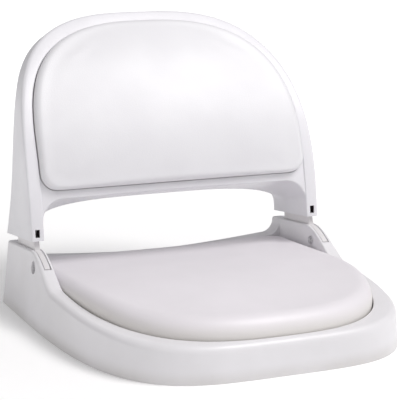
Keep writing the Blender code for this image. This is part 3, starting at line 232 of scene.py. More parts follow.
SAME_FACE = 0.02 * MM


def smooth_step(value, start, end):
    """0 before start, 1 after end, and between them 3s^2 - 2s^3 of the share s covered."""
    share = np.clip((value - start) / (end - start), 0.0, 1.0)
    return share * share * (3 - 2 * share)


def blend(first, last, share):
    """The value a share of the way from first to last."""
    return first + (last - first) * share


def unit(rows):
    """Plane directions brought to a length of one."""
    return rows / np.linalg.norm(rows, axis=1, keepdims=True)


def edge_reach(inside, start, heading, longest=0.6):
    """How far level rays stay inside an outline given as a test on (x, along): a span halved again and again."""
    near = np.zeros(len(heading))
    far = np.full(len(heading), longest)
    for _ in range(RAY_HALVINGS):
        middle = (near + far) / 2
        within = inside(heading[:, 0] * middle, start + heading[:, 1] * middle)
        near = np.where(within, middle, near)
        far = np.where(within, far, middle)
    return near


def in_d(x, along, shape):
    """True in a D of half width w, centre c, length l past it and power p: |x/w|^p + ((along - c)/l)^p < 1."""
    half, centre, length, power = shape
    return np.abs(x / half) ** power + (np.maximum(along - centre, 0) / length) ** power < 1


def d_reach(shape, start, heading):
    """How far level rays from (0, start) stay inside a D."""
    return edge_reach(lambda x, along: in_d(x, along, shape), start, heading, 1.0)


def cushion_view(shape, foot, corner):
    """The test for a cushion's outline: its D, with the two corners at its straight end rounded."""
    def inside(x, along):
        over = np.maximum(np.abs(x) - shape[0] + corner, 0)
        below = np.maximum(foot + corner - along, 0)
        return in_d(x, along, shape) & (np.hypot(over, below) < corner)
    return inside


def seat_d(grow):
    """The front of the seat cushion's top view, grown by a margin."""
    return SEAT_HALF_WIDTH + grow, SEAT_CENTRE, SEAT_FRONT + grow - SEAT_CENTRE, SEAT_POWER


BASE_D = (BASE_HALF_WIDTH, 0.0, BASE_DEPTH, BASE_POWER)


def u_path(centre, side_alongs, turn_stations):
    """Rays round a U: square to its right side, fanned about its centre, and square to its left side."""
    fan = np.linspace(0, np.pi, turn_stations)
    sides = len(side_alongs)
    start = np.concatenate((side_alongs, np.full(turn_stations, centre), side_alongs[::-1]))
    right = np.tile((1.0, 0.0), (sides, 1))
    turn = np.column_stack((np.cos(fan), np.sin(fan)))
    return start, np.concatenate((right, turn, -right))


def arc_points(middle, radius, first, last, steps):
    """Points of an arc in the plane, with both ends."""
    turn = np.linspace(first, last, steps + 1)
    return np.column_stack((middle[0] + radius * np.cos(turn), middle[1] + radius * np.sin(turn)))


def arc_rows(across, up, radius, first, last, steps):
    """An arc for each station, its middle plus radius times (cos, sin): an array of (station, point, 2)."""
    angle = np.linspace(first, last, steps + 1)
    across, up, radius = np.broadcast_arrays(across, up, radius)
    return np.stack((across[:, None] + radius[:, None] * np.cos(angle),
                     up[:, None] + radius[:, None] * np.sin(angle)), axis=2)


def point_rows(across, up):
    """One point for each station: an array of (station, 1, 2)."""
    across, up = np.broadcast_arrays(across, up)
    return np.stack((across, up), axis=1)[:, None, :]


def arc_loss(distance, radius):
    """What a rounded corner takes off a face: r - sqrt(r^2 - (r - distance)^2), and nothing past the radius."""
    short = np.clip(radius - distance, 0, radius)
    return radius - np.sqrt(radius ** 2 - short ** 2)


def reworked(mesh, *steps):
    """The mesh after some steps on its bmesh, taken in order."""
    work = bmesh.new()
    work.from_mesh(mesh)
    for step in steps:
        step(work)
    work.to_mesh(mesh)
    work.free()
    return mesh


def outward(work):
    """A step that turns every face of a closed mesh outwards."""
    bmesh.ops.recalc_face_normals(work, faces=work.faces)


def merging(distance):
    """A step that merges points closer than the distance."""
    return lambda work: bmesh.ops.remove_doubles(work, verts=work.verts, dist=distance)


def flattening(degrees):
    """A step that dissolves edges between faces that are flat to within an angle."""
    return lambda work: bmesh.ops.dissolve_limit(work, angle_limit=math.radians(degrees), verts=work.verts,
                                                 edges=work.edges)


def carried(name, rows):
    """A closed profile carried along a path: rows is (station, point, 3), joined in order and capped."""
    stations, points = rows.shape[:2]
    index = np.arange(stations * points).reshape(stations, points)
    here, there = index[:-1], index[1:]
    quads = np.stack((here, np.roll(here, -1, 1), np.roll(there, -1, 1), there), axis=2).reshape(-1, 4)
    mesh = bpy.data.meshes.new(name)
    mesh.from_pydata(rows.reshape(-1, 3).tolist(), [], quads.tolist() + [index[0].tolist(), index[-1].tolist()])
    return reworked(mesh, outward)


def prism(name, outline, low, high, order=(0, 1, 2)):
    """A flat outline moved from low to high along its third axis; order says where each axis goes."""
    flat = np.asarray(outline, float)
    rows = np.stack([np.column_stack((flat, np.full(len(flat), level))) for level in (low, high)])
    return carried(name, rows[:, :, np.argsort(order)])


def block(name, low, high):
    """A rectangular block between two corners."""
    return prism(name, [(low[0], low[1]), (high[0], low[1]), (high[0], high[1]), (low[0], high[1])], low[2], high[2])


def turned(name, profile, steps, standing=Matrix.Identity(4)):
    """A profile of (radius, height) turned about Z: (r cos a, r sin a, h), its points on the axis merged."""
    angle = np.linspace(0, 2 * np.pi, steps, endpoint=False)[:, None]
    radius, height = np.asarray(profile, float).T
    rows = np.stack((radius * np.cos(angle), radius * np.sin(angle), height + 0 * angle), axis=2)
    index = np.arange(rows.shape[0] * rows.shape[1]).reshape(rows.shape[:2])
    ring = radius.min() > 0
    here = index if ring else index[:, :-1]
    after = np.roll(index, -1, 1) if ring else index[:, 1:]
    quads = np.stack((here, after, np.roll(after, -1, 0), np.roll(here, -1, 0)), axis=2).reshape(-1, 4)
    mesh = bpy.data.meshes.new(name)
    mesh.from_pydata(rows.reshape(-1, 3).tolist(), [], quads.tolist())
    reworked(mesh, merging(0.001 * MM), outward)
    mesh.transform(standing)
    return mesh


def bar(name, radius, low, high, steps, standing):
    """A round bar between two heights, then stood in its place."""
    return turned(name, [(0, high), (radius, high), (radius, low), (0, low)], steps, standing)


def peg(name, radius, low, high, x, y, steps=24):
    """An upright round bar."""
    return bar(name, radius, low, high, steps, Matrix.Translation((x, y, 0)))


def settle(piece):
    """Puts the piece's modifiers into its mesh."""
    bpy.context.view_layer.update()
    graph = bpy.context.evaluated_depsgraph_get()
    made = bpy.data.meshes.new_from_object(piece.evaluated_get(graph))
    piece.modifiers.clear()
    piece.data = made
    return piece


def bevelled(name, mesh, width, steps=3, degrees=50.0):
    """The mesh with its sharp edges rounded."""
    piece = shown(name, mesh)
    bevel = piece.modifiers.new("edge", "BEVEL")
    bevel.width = width
    bevel.segments = steps
    bevel.limit_method = "ANGLE"
    bevel.angle_limit = math.radians(degrees)
    return taken(settle(piece))


def taken(piece):
    """The piece's mesh, its object removed."""
    mesh = piece.data
    bpy.data.objects.remove(piece, do_unlink=True)
    return mesh


def combine(piece, tools, how):
    """Joins or cuts the piece with each mesh in turn, and puts the result into its mesh."""
    helpers = []
    for mesh in tools:
        helper = shown("tool", mesh)
        helpers.append(helper)
        step = piece.modifiers.new("step", "BOOLEAN")
        step.operation = how
        step.solver = "EXACT"
        step.object = helper
    settle(piece)
    for helper in helpers:
        bpy.data.objects.remove(helper, do_unlink=True)
    return piece


def smooth(piece, degrees=38.0):
    """Round faces shaded smooth, real edges kept sharp."""
    piece.data.shade_smooth()
    piece.data.set_sharp_from_angle(angle=math.radians(degrees))
    return piece


def rim_height(ahead):
    """Top of the rim: a level slope to the front, rising in one S to the ears' straight tops at the rear."""
    rim = RIM_FRONT_HEIGHT + RIM_SLOPE * (SEAT_FRONT - ahead)
    ear = EAR_REAR_HEIGHT + (EAR_FRONT_HEIGHT - EAR_REAR_HEIGHT) * ahead / EAR_LENGTH
    return blend(ear, rim, smooth_step(ahead, EAR_SLOPE_START, EAR_SLOPE_END))


def base_rows():
    """Skirt, rounded rim, well side and the hollow behind them, for every station round the U."""
    corner = np.array(CORNER_SHARES) * REAR_CORNER_ROUND
    sides = np.concatenate((corner, np.linspace(REAR_CORNER_ROUND, SEAT_CENTRE, SIDE_STATIONS)[:-1]))
    start, heading = u_path(SEAT_CENTRE, sides, TURN_STATIONS)
    outer = d_reach(BASE_D, start, heading)
    inner = d_reach(seat_d(WELL_GAP), start, heading)
    side = heading[:, 0] ** 2
    ahead = start + heading[:, 1] * outer
    ear = 1 - smooth_step(ahead, EAR_SLOPE_START, EAR_SLOPE_END)
    lean = blend(FRONT_LEAN, SIDE_LEAN, side)
    outer = outer - arc_loss(ahead, REAR_CORNER_ROUND)
    top = rim_height(ahead) - arc_loss(ahead, EAR_ROUND)
    rounding = blend(blend(FRONT_ROUND, SIDE_ROUND, side), EAR_ROUND, ear)
    face = outer - lean * (top - rounding)
    rounding = np.minimum(rounding, face - inner - RIM_INNER_ROUND - FIT_GAP)
    hollow_top = np.minimum(top - WALL, blend(RIM_HOLLOW_TOP, EAR_HOLLOW_TOP, ear))
    shoulder = np.minimum(top - rounding, hollow_top - WALL / 2)
    bend = np.maximum(face - np.maximum(rounding, WALL * 1.5), inner + WALL * 1.3)
    small = RIM_INNER_ROUND
    low = DECK_TOP - DECK_THICK
    section = np.concatenate((
        point_rows(outer, 0.0), point_rows(outer - lean * DECK_TOP / 2, DECK_TOP / 2),
        arc_rows(face - rounding, top - rounding, rounding, 0, np.pi / 2, 10),
        arc_rows(inner + small, top - small, small, np.pi / 2, np.pi, 5),
        point_rows(inner, DECK_TOP), point_rows(inner, low), point_rows(inner + WALL, low),
        point_rows(inner + WALL, hollow_top), point_rows(bend, hollow_top),
        point_rows(outer - lean * shoulder - WALL, shoulder), point_rows(outer - WALL, 0.0)), axis=1)
    across = heading[:, :1] * section[:, :, 0]
    back = REAR_Y - (start[:, None] + heading[:, 1:] * section[:, :, 0])
    return np.stack((across, back, section[:, :, 1]), axis=2)


def rear_beam():
    """The rear wall: its top dips in the middle as |x|^1.6 and sweeps up into the ears in a quarter round."""
    end = WELL_HALF_WIDTH + KEY_IN
    bend = WELL_HALF_WIDTH - REAR_FILLET
    fillet_top = REAR_RIM_HEIGHT + REAR_RIM_RISE + REAR_FILLET
    right = arc_points((bend, fillet_top), REAR_FILLET, -np.pi / 2, 0, 12)[1:]
    share = np.linspace(-1, 1, DIP_STATIONS)
    dip = np.column_stack((bend * share, REAR_RIM_HEIGHT + REAR_RIM_RISE * np.abs(share) ** REAR_RIM_POWER))
    top = np.concatenate(([(-end, fillet_top)], right[::-1] * (-1, 1), dip, right, [(end, fillet_top)]))
    outline = np.concatenate(([(end, 0.0), (-end, 0.0)], top))
    near, far = REAR_Y - REAR_RIM_WIDTH, REAR_Y
    solid = bevelled("rear_wall", prism("rear_wall", outline, near, far, (0, 2, 1)), BEAM_EDGE_ROUND, 4)
    beam = shown("rear_beam", solid)
    inset = WELL_HALF_WIDTH - WALL
    hollow = block("beam_hollow", (-inset, near + WALL, -OVERRUN), (inset, far - WALL, REAR_RIM_HEIGHT - WALL))
    return taken(combine(beam, [hollow], "DIFFERENCE"))


def seat_line(grow, steps=120):
    """Top view of the cushion, grown by a margin: the D of its front and two rounded rear corners."""
    fan = np.linspace(0, np.pi, steps)
    heading = np.column_stack((np.cos(fan), np.sin(fan)))
    start = np.full(steps, SEAT_CENTRE)
    reach = d_reach(seat_d(grow), start, heading)
    front = np.column_stack((heading[:, 0] * reach, REAR_Y - SEAT_CENTRE - heading[:, 1] * reach))
    rear = REAR_Y - SEAT_REAR + grow
    corner = SEAT_REAR_CORNER
    edge = SEAT_HALF_WIDTH + grow - corner
    turn = np.linspace(0, np.pi / 2, 13)
    left = np.column_stack((-edge - corner * np.cos(turn), rear - corner + corner * np.sin(turn)))
    right = np.column_stack((edge + corner * np.sin(turn), rear - corner + corner * np.cos(turn)))
    return np.concatenate((front, left, right))


def bolt_places():
    """The pedestal bolts: a 5 in square and a 5 by 12 in rectangle about the origin."""
    return [(x, y) for spread in BOLT_SPREADS_Y for x in (-BOLT_SPREAD_X / 2, BOLT_SPREAD_X / 2)
            for y in (-spread / 2, spread / 2)]


def rib_lattice():
    """Crossed ribs under the deck, kept inside the skirt."""
    top = DECK_TOP - DECK_THICK / 2
    low = top - RIB_DEPTH
    half = RIB_THICK / 2
    ribs = [block("rib", (x - half, -REAR_Y, low), (x + half, REAR_Y, top))
            for x in (np.arange(5) - 2) * BOLT_SPREAD_X / 2]
    for share in CROSS_RIB_SHARES:
        y = REAR_Y - BASE_DEPTH * share
        ribs.append(block("rib", (-BASE_HALF_WIDTH, y - half, low), (BASE_HALF_WIDTH, y + half, top)))
    start, heading = u_path(SEAT_CENTRE, np.array((WALL / 2, SEAT_CENTRE / 2)), RIB_LIMIT_STATIONS)
    reach = d_reach(BASE_D, start, heading) - WALL / 2
    lean = blend(FRONT_LEAN, SIDE_LEAN, heading[:, 0] ** 2)
    rings = []
    for height in (0.0, DECK_TOP):
        distance = reach - lean * height
        rings.append(np.column_stack((heading[:, 0] * distance, REAR_Y - start - heading[:, 1] * distance,
                                      np.full(len(start), height))))
    lattice = shown("rib_lattice", ribs[0])
    combine(lattice, ribs[1:], "UNION")
    return taken(combine(lattice, [carried("rib_limit", np.stack(rings))], "INTERSECT"))


def ear_closers():
    """The thin panels that close the rear of the two hollow ears."""
    panels = []
    for side in (-1, 1):
        foot = side * (BASE_HALF_WIDTH - WALL - REAR_CORNER_ROUND / 2)
        crest = foot - side * SIDE_LEAN * EAR_HOLLOW_TOP
        inside = side * (WELL_HALF_WIDTH + KEY_IN)
        top = EAR_HOLLOW_TOP + KEY_IN
        outline = [(inside, FIT_GAP), (foot, FIT_GAP), (crest, top), (inside, top)]
        panels.append(prism("ear_closer", outline, REAR_Y - FIT_GAP - WALL, REAR_Y - FIT_GAP, (0, 2, 1)))
    return panels


base = shown("base_moulding", carried("base_moulding", base_rows()))
deck = prism("deck", seat_line(WELL_GAP + KEY_IN), DECK_TOP - DECK_THICK + FIT_GAP, DECK_TOP - FIT_GAP)
combine(base, [rear_beam()] + ear_closers() + [deck, rib_lattice()], "UNION")
boss_top = DECK_TOP - DECK_THICK / 2
bosses = [peg("boss", BOSS_RADIUS, 0, boss_top, x, y, 32) for x, y in bolt_places()]
combine(base, bosses + [peg("hub", HUB_RADIUS, 0, boss_top, 0, 0, 48)], "UNION")
base_holes = [peg("hole", INSERT_HOLE_RADIUS, -OVERRUN, INSERT_HOLE_DEPTH, x, y) for x, y in bolt_places()]
for share in SEAT_SCREW_SHARES:
    for x in (-BOLT_SPREAD_X * 3 / 4, BOLT_SPREAD_X * 3 / 4):
        y = REAR_Y - BASE_DEPTH * share
        base_holes.append(peg("hole", SCREW_HOLE_RADIUS, DECK_TOP - DECK_THICK - OVERRUN, DECK_TOP + OVERRUN, x, y))
combine(base, base_holes, "DIFFERENCE")

HINGE_AXIS = Vector(frame["joints"][0]["pos_m"])
TONGUE_MIDDLE = (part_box("thrust_washer_right_inner")[0].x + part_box("thrust_washer_right_outer")[1].x) / 2
SLOT_WIDTH = 10.6 * MM
SLOT_REAR_AHEAD = 34.6 * MM
SLOT_FLOOR_HEIGHT = 65.0 * MM
SLOT_SWEEP = 34.0 * MM
SLOT_EDGE_ROUND = 0.7 * MM
PIN_BORE_RADIUS = 4.3 * MM
HEAD_SEAT_RADIUS = 9.1 * MM
HEAD_SEAT_X = -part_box("hinge_pin_left")[0].x - 1.7 * MM
PIN_BORE_REACH = WALL * 8
HEAD_SEAT_REACH = WALL * 4


def across(side, x):
    """Stands a turned piece on the hinge axis, its own +Z pointing outwards on that side."""
    return Matrix.Translation((side * x, HINGE_AXIS.y, HINGE_AXIS.z)) @ Matrix.Rotation(side * math.pi / 2, 4, "Y")


def slot_line():
    """Side view of the fork slot: a level floor at the rear, then the arc swept by the tongue's nose about the pin."""
    first = -math.asin((HINGE_AXIS.z - SLOT_FLOOR_HEIGHT) / SLOT_SWEEP)
    sweep = arc_points((HINGE_AXIS.y, HINGE_AXIS.z), SLOT_SWEEP, first, -np.pi, 48)
    rear = REAR_Y - SLOT_REAR_AHEAD
    above = EAR_FRONT_HEIGHT + OVERRUN
    return np.concatenate(([(rear, above), (rear, SLOT_FLOOR_HEIGHT)], sweep, [(HINGE_AXIS.y - SLOT_SWEEP, above)]))


def round_off(piece, width, steps, chosen):
    """Rounds the sharp edges whose two ends both pass the test."""
    def rounding(work):
        edges = [edge for edge in work.edges if edge.is_manifold and edge.calc_face_angle() > SHARP_ANGLE
                 and all(chosen(vert.co) for vert in edge.verts)]
        bmesh.ops.bevel(work, geom=edges, offset=width, offset_type="OFFSET", segments=steps, profile=0.5,
                        affect="EDGES", clamp_overlap=True)
    reworked(piece.data, merging(0.01 * MM), flattening(0.02), rounding)


def on_wall(place, width):
    """True on either side wall of a cut this wide, at the middle of a hinge tongue."""
    return abs(abs(abs(place.x) - TONGUE_MIDDLE) - width / 2) < SAME_FACE


def on_slot_wall(place):
    """True on either side wall of a fork slot."""
    return on_wall(place, SLOT_WIDTH) and place.z > DECK_TOP


hinge_cuts = [prism("fork_slot", slot_line(), near, near + SLOT_WIDTH, (1, 2, 0))
              for near in (-TONGUE_MIDDLE - SLOT_WIDTH / 2, TONGUE_MIDDLE - SLOT_WIDTH / 2)]
combine(base, hinge_cuts, "DIFFERENCE")
round_off(base, SLOT_EDGE_ROUND, 3, on_slot_wall)
pin_cuts = []
for side in (-1, 1):
    pin_cuts.append(bar("pin_bore", PIN_BORE_RADIUS, -OVERRUN, PIN_BORE_REACH, 48, across(side, WELL_HALF_WIDTH)))
    pin_cuts.append(bar("head_seat", HEAD_SEAT_RADIUS, 0, HEAD_SEAT_REACH, 72, across(side, HEAD_SEAT_X)))
combine(base, pin_cuts, "DIFFERENCE")
smooth(base)


def effect_group(name, inputs, outputs):
    """An empty shader group that takes a place and some numbers and gives numbers."""
    tree = bpy.data.node_groups.new(name, "ShaderNodeTree")
    tree.interface.new_socket("Place", in_out="INPUT", socket_type="NodeSocketVector")
    for label, value in inputs.items():
        tree.interface.new_socket(label, in_out="INPUT", socket_type="NodeSocketFloat").default_value = value
    for label in outputs:
        tree.interface.new_socket(label, in_out="OUTPUT", socket_type="NodeSocketFloat")
    return tree, tree.nodes.new("NodeGroupInput").outputs, tree.nodes.new("NodeGroupOutput").inputs


def surface(name, group, gloss_range, roughness_range, bump_strength, bump_distance, **settings):
    """A material whose roughness and bump come from a skin group: it, its tree and shader, the skin and the place."""
    made = bpy.data.materials.new(name)
    made.use_nodes = True
    tree = made.node_tree
    shader = tree.nodes["Principled BSDF"]
    place = add_node(tree, "ShaderNodeTexCoord").outputs["Object"]
    skin = add_node(tree, "ShaderNodeGroup", {"Place": place, **settings}, node_tree=group).outputs
    tree.links.new(spread(tree, skin["Gloss"], *gloss_range, *roughness_range, "LINEAR"), shader.inputs["Roughness"])
    bump = add_node(tree, "ShaderNodeBump", {"Strength": bump_strength, "Distance": bump_distance,
                                             "Height": skin["Height"]})
    tree.links.new(bump.outputs[0], shader.inputs["Normal"])
    return made, tree, shader, skin, place


def painted(piece, material):
    """The piece in this material alone."""
    piece.data.materials.clear()
    piece.data.materials.append(material)
    return piece


# Moulded skin: broad sink waves and a spark-eroded grain in the height, cloudy patches in tone and gloss,
# and thin rubbed streaks.
mould_skin, given, out = effect_group("mould_skin", {"Grain": 1300.0, "Depth": 0.5},
                                      ("Tone", "Gloss", "Height", "Streaks"))
cloud = noise(mould_skin, given["Place"], scale=11.0, detail=3.0, roughness=0.6)
fine = noise(mould_skin, given["Place"], scale=given["Grain"], detail=2.0)
waves = noise(mould_skin, given["Place"], scale=16.0, detail=1.0)
drawn = add_node(mould_skin, "ShaderNodeMapping", {"Vector": given["Place"], "Rotation": (0.3, 0.2, 0.5),
                                                   "Scale": (14.0, 260.0, 90.0)}).outputs[0]
streak = noise(mould_skin, drawn, scale=1.0, detail=4.0, roughness=0.7)
streak = spread(mould_skin, streak, 0.62, 0.8, 0.0, 1.0)
mould_skin.links.new(spread(mould_skin, cloud, 0.3, 0.7, 0.0, 1.0), out["Tone"])
mould_skin.links.new(sum_of(mould_skin, cloud, sum_of(mould_skin, fine, 0.4, "MULTIPLY")), out["Gloss"])
mould_skin.links.new(sum_of(mould_skin, sum_of(mould_skin, fine, given["Depth"], "MULTIPLY"),
                            sum_of(mould_skin, waves, 1.6, "MULTIPLY")), out["Height"])
mould_skin.links.new(streak, out["Streaks"])


def moulded(name, light, shade, streak_and_foot_colour, gloss, grain, depth, foot=0.0):
    """White moulded plastic: two tones in patches, dirt in the streaks, and a colour that darkens towards the bottom
    below the foot height.
    """
    made, tree, shader, skin, place = surface(
        name, mould_skin, gloss_range=(0.4, 1.0), roughness_range=(gloss - 0.05, gloss + 0.08),
        bump_strength=0.35, bump_distance=0.12 * MM, Grain=grain, Depth=depth)
    colour = tinted(tree, skin["Tone"], light, shade)
    marks = sum_of(tree, skin["Streaks"], 0.10, "MULTIPLY")
    # Below the foot height the colour grows darker towards the bottom.
    if foot:
        height = add_node(tree, "ShaderNodeSeparateXYZ", {0: place}).outputs["Z"]
        low = spread(tree, height, 0.0, foot, 0.55, 0.0)
        marks = sum_of(tree, marks, sum_of(tree, low, skin["Gloss"], "MULTIPLY"))
    tree.links.new(tinted(tree, marks, colour, streak_and_foot_colour), shader.inputs["Base Color"])
    shader.inputs["IOR"].default_value = 1.49
    return made


base_white = moulded("base_white", light=(0.81, 0.80, 0.825), shade=(0.775, 0.765, 0.785), streak_and_foot_colour=(0.55, 0.53, 0.50),
                     gloss=0.36, grain=1300.0, depth=0.5, foot=20 * MM)
painted(base, base_white)
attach(base, "base")
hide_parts("seat_base_shell")


# Threaded inserts: eight turned brass sleeves pressed into the bosses from below, which take the
# pedestal's quarter-inch screws. Their bores are threaded and their ends are chamfered.
INSERT_THREADS = 9
INSERT_THREAD_DEPTH = 0.45 * MM
INSERT_CHAMFER = 0.5 * MM
INSERT_WALL = 1.8 * MM

metal_skin, given, out = effect_group("metal_skin", {"Lines": 900.0}, ("Tone", "Gloss", "Height"))
turned_place = add_node(metal_skin, "ShaderNodeMapping", {"Vector": given["Place"],
                                                          "Scale": (1.0, 1.0, 0.15)}).outputs[0]
lines = noise(metal_skin, turned_place, scale=given["Lines"], detail=3.0, roughness=0.7)
dull = noise(metal_skin, given["Place"], scale=140.0, detail=3.0)
metal_skin.links.new(spread(metal_skin, dull, 0.35, 0.65, 0.0, 1.0), out["Tone"])
metal_skin.links.new(sum_of(metal_skin, lines, dull), out["Gloss"])
metal_skin.links.new(lines, out["Height"])


def metal(name, bright, dull_colour, gloss):
    """Turned bare metal: fine tool lines, and duller patches where it has been handled."""
    made, tree, shader, skin, _ = surface(
        name, metal_skin, gloss_range=(0.6, 1.4), roughness_range=(gloss - 0.08, gloss + 0.12),
        bump_strength=0.25, bump_distance=0.05 * MM)
    tree.links.new(tinted(tree, skin["Tone"], bright, dull_colour), shader.inputs["Base Color"])
    shader.inputs["Metallic"].default_value = 1.0
    return made


insert_brass = metal("insert_brass", bright=(0.78, 0.60, 0.30), dull_colour=(0.58, 0.43, 0.20), gloss=0.30)
for number in range(1, 9):
    node = "threaded_insert_%d" % number
    low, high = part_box(node)
    middle = (low + high) / 2
    outer = (high.x - low.x) / 2
    bore = outer - INSERT_WALL
    height = np.linspace(low.z + INSERT_CHAMFER, high.z - INSERT_CHAMFER, 2 * INSERT_THREADS + 1)
    depth = np.where(np.arange(len(height)) % 2, INSERT_THREAD_DEPTH, 0.0)
    edge = INSERT_CHAMFER
    sleeve = [(outer - edge, high.z), (outer, high.z - edge), (outer, low.z + edge), (outer - edge, low.z),
              (bore + 2 * edge, low.z)]
    sleeve += list(zip(bore + depth, height)) + [(bore + 2 * edge, high.z)]
    insert = shown("insert_sleeve_%d" % number,
                   turned("insert_sleeve", sleeve, 40, Matrix.Translation((middle.x, middle.y, 0))))
    smooth(insert, 50.0)
    painted(insert, insert_brass)
    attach(insert, "base")
    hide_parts(node)


# Seat cushion: a foam block on a black plastic board under one piece of white marine vinyl, pulled round
# the foam and stapled under the board, so that it has no seam in sight. It lies loose in the base's well.
SEAT_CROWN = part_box("seat_cushion_cover")[1].z
SEAT_CROWN_AT = 290.0 * MM
SEAT_FRONT_DROP = 9.0 * MM
SEAT_REAR_DROP = 15.0 * MM
SEAT_SIDE_DROP = 2.5 * MM
SEAT_REAR_DISH = 5.0 * MM
SEAT_SIDE_SHOULDER = 19.0 * MM
SEAT_FRONT_SHOULDER = 28.0 * MM
CUSHION_DRAW_IN = 3.0 * MM
HEM_WIDTH = 22.0 * MM
SWELL = 4.0 * MM
SWELL_MARGIN = 55.0 * MM
SEAT_GRID = (34, 9, 5)
BACK_GRID = (34, 6, 4)
SEAT_BORDER_SHARE = 0.45
BACK_BORDER_SHARE = 0.6
BACK_BORDER_STRENGTH = 0.6
SWELL_FRAMES = 20


in_seat = cushion_view(seat_d(0.0), SEAT_REAR, SEAT_REAR_CORNER)


def seat_crown(x, ahead):
    """Top of the seat: its crown less S-shaped falls to rear and front, x^2 to the sides, and a dish at the rear."""
    rear = smooth_step(SEAT_CROWN_AT - ahead, 0.0, SEAT_CROWN_AT - SEAT_REAR)
    front = smooth_step(ahead - SEAT_CROWN_AT, 0.0, SEAT_FRONT - SEAT_CROWN_AT)
    side = (np.abs(x) / SEAT_HALF_WIDTH) ** 2
    dish = SEAT_REAR_DISH * rear * side
    return SEAT_CROWN + dish - SEAT_REAR_DROP * rear - SEAT_FRONT_DROP * front - SEAT_SIDE_DROP * side


def pad_grid(middle, size, inside, shoulder, crown, foot, counts):
    """A square grid wrapped on a cushion, ring by ring along rays from its middle, and a second grid for its underside.

    With s the shoulder's radius and a its angle, the rings run out to reach - s at the crown's level, then
    round (reach - s + s sin a, crown - s + s cos a), and then down the side, drawn in by 3 mm at the foot.
    The hem turns in under the side and meets the underside, whose rings are equal shares of its reach.
    Returns the points as (x, along, level), the ring numbers and all the faces.
    """
    flat, turn, side = counts
    whole = flat + turn + side
    step = np.arange(-whole, whole + 1)
    i, j = (part.ravel() for part in np.meshgrid(step, step, indexing="ij"))
    ring = np.maximum(np.abs(i), np.abs(j))
    heading = unit(np.column_stack((i * size[0], j * size[1])) + (ring == 0)[:, None] * (0.0, 1.0))
    reach = edge_reach(inside, middle, heading)
    soft = shoulder(heading)
    angle = np.clip((ring - flat) / turn, 0, 1) * np.pi / 2
    down = np.clip((ring - flat - turn) / side, 0, 1)
    level_share = np.minimum(ring / flat, 1.0)
    out = (reach - soft) * level_share + soft * np.sin(angle) - CUSHION_DRAW_IN * down ** 2.2
    x, along = heading[:, 0] * out, middle + heading[:, 1] * out
    top = crown(x, along)
    level = top - soft + soft * np.cos(angle)
    level = blend(level, foot, down)
    index = np.arange(len(i)).reshape(2 * whole + 1, 2 * whole + 1)
    quads = np.stack((index[:-1, :-1], index[1:, :-1], index[1:, 1:], index[:-1, 1:]), 2).reshape(-1, 4)
    border = np.concatenate((index[:-1, 0], index[-1, :-1], index[:0:-1, -1], index[0, :0:-1]))
    hem_out = (reach - CUSHION_DRAW_IN - HEM_WIDTH) * ring / whole
    below = np.column_stack((heading[:, 0] * hem_out, middle + heading[:, 1] * hem_out, np.full(len(i), foot)))
    points = np.concatenate((np.column_stack((x, along, level)), below))
    under = len(i) + border
    strip = np.stack((border, np.roll(border, -1), np.roll(under, -1), under), 1)
    faces = np.concatenate((quads, strip, len(i) + quads[:, ::-1])).tolist()
    return points, np.concatenate((ring, np.full(len(i), whole + 1))), faces


CLOTH_SETTINGS = {"quality": 6, "mass": 0.4, "tension_stiffness": 18.0, "compression_stiffness": 18.0,
                  "shear_stiffness": 9.0, "bending_stiffness": 4.0, "air_damping": 2.0, "use_pressure": True,
                  "uniform_pressure_force": 4.0, "vertex_group_mass": "held", "pin_stiffness": 1.0}


def swollen(name, points, ring, faces, held_from, fade):
    """The padded form after its skin has been blown up a little: Cloth with pressure and no gravity for 20 frames.

    The rings from held_from outwards stay put. The movement found is scaled so that its largest step is SWELL.
    """
    mesh = bpy.data.meshes.new(name)
    mesh.from_pydata(points.tolist(), [], faces)
    reworked(mesh, outward)
    piece = shown(name, mesh)
    share = np.clip((held_from - ring) / fade, 0, 1)
    held = piece.vertex_groups.new(name="held")
    weights = 1 - smooth_step(share, 0.0, 1.0)
    for level in np.unique(weights[weights > 0]):
        held.add(np.flatnonzero(weights == level).tolist(), float(level), "REPLACE")
    cloth = piece.modifiers.new("skin", "CLOTH")
    for label, value in CLOTH_SETTINGS.items():
        setattr(cloth.settings, label, value)
    cloth.settings.effector_weights.gravity = 0.0
    cloth.collision_settings.use_self_collision = False
    cloth.collision_settings.use_collision = False
    cloth.point_cache.frame_start = 1
    cloth.point_cache.frame_end = SWELL_FRAMES
    scene = bpy.context.scene
    for frame_number in range(1, SWELL_FRAMES + 1):
        scene.frame_set(frame_number)
    graph = bpy.context.evaluated_depsgraph_get()
    worked = piece.evaluated_get(graph).data
    moved = np.empty(len(points) * 3)
    worked.vertices.foreach_get("co", moved)
    step = moved.reshape(-1, 3) - points
    moved = points + step * (SWELL / np.linalg.norm(step, axis=1).max())
    piece.modifiers.clear()
    piece.vertex_groups.clear()
    scene.frame_set(1)
    mesh.vertices.foreach_set("co", moved.ravel())
    mesh.update()
    return piece, moved


def marked(piece, name, values):
    """A number kept on each point of the mesh, for its material to read."""
    mark = piece.data.attributes.new(name, "FLOAT", "POINT")
    mark.data.foreach_set("value", np.asarray(values, np.float32))


def refined(piece):
    """One subdivision, the same in the view and in the render."""
    step = piece.modifiers.new("refine", "SUBSURF")
    step.levels = 1
    step.render_levels = 1
    piece.data.shade_smooth()
    return piece


def seat_shoulder(heading):
    """Shoulder radius of the seat cushion by heading: fuller towards the front, as the square of the forward part."""
    forward = np.maximum(heading[:, 1], 0)
    return blend(SEAT_SIDE_SHOULDER, SEAT_FRONT_SHOULDER, forward ** 2)


def sunk(crown, inside, middle):
    """The crown lowered by the swell away from the cushion's edge, for the skin to rise from."""
    def lowered(x, along):
        out = np.hypot(x, along - middle)
        heading = unit(np.column_stack((x, along - middle)) + (out < 1e-6)[:, None] * (0.0, 1.0))
        inward = edge_reach(inside, middle, heading) - out
        return crown(x, along) - SWELL * smooth_step(inward, 0.0, SWELL_MARGIN)
    return lowered


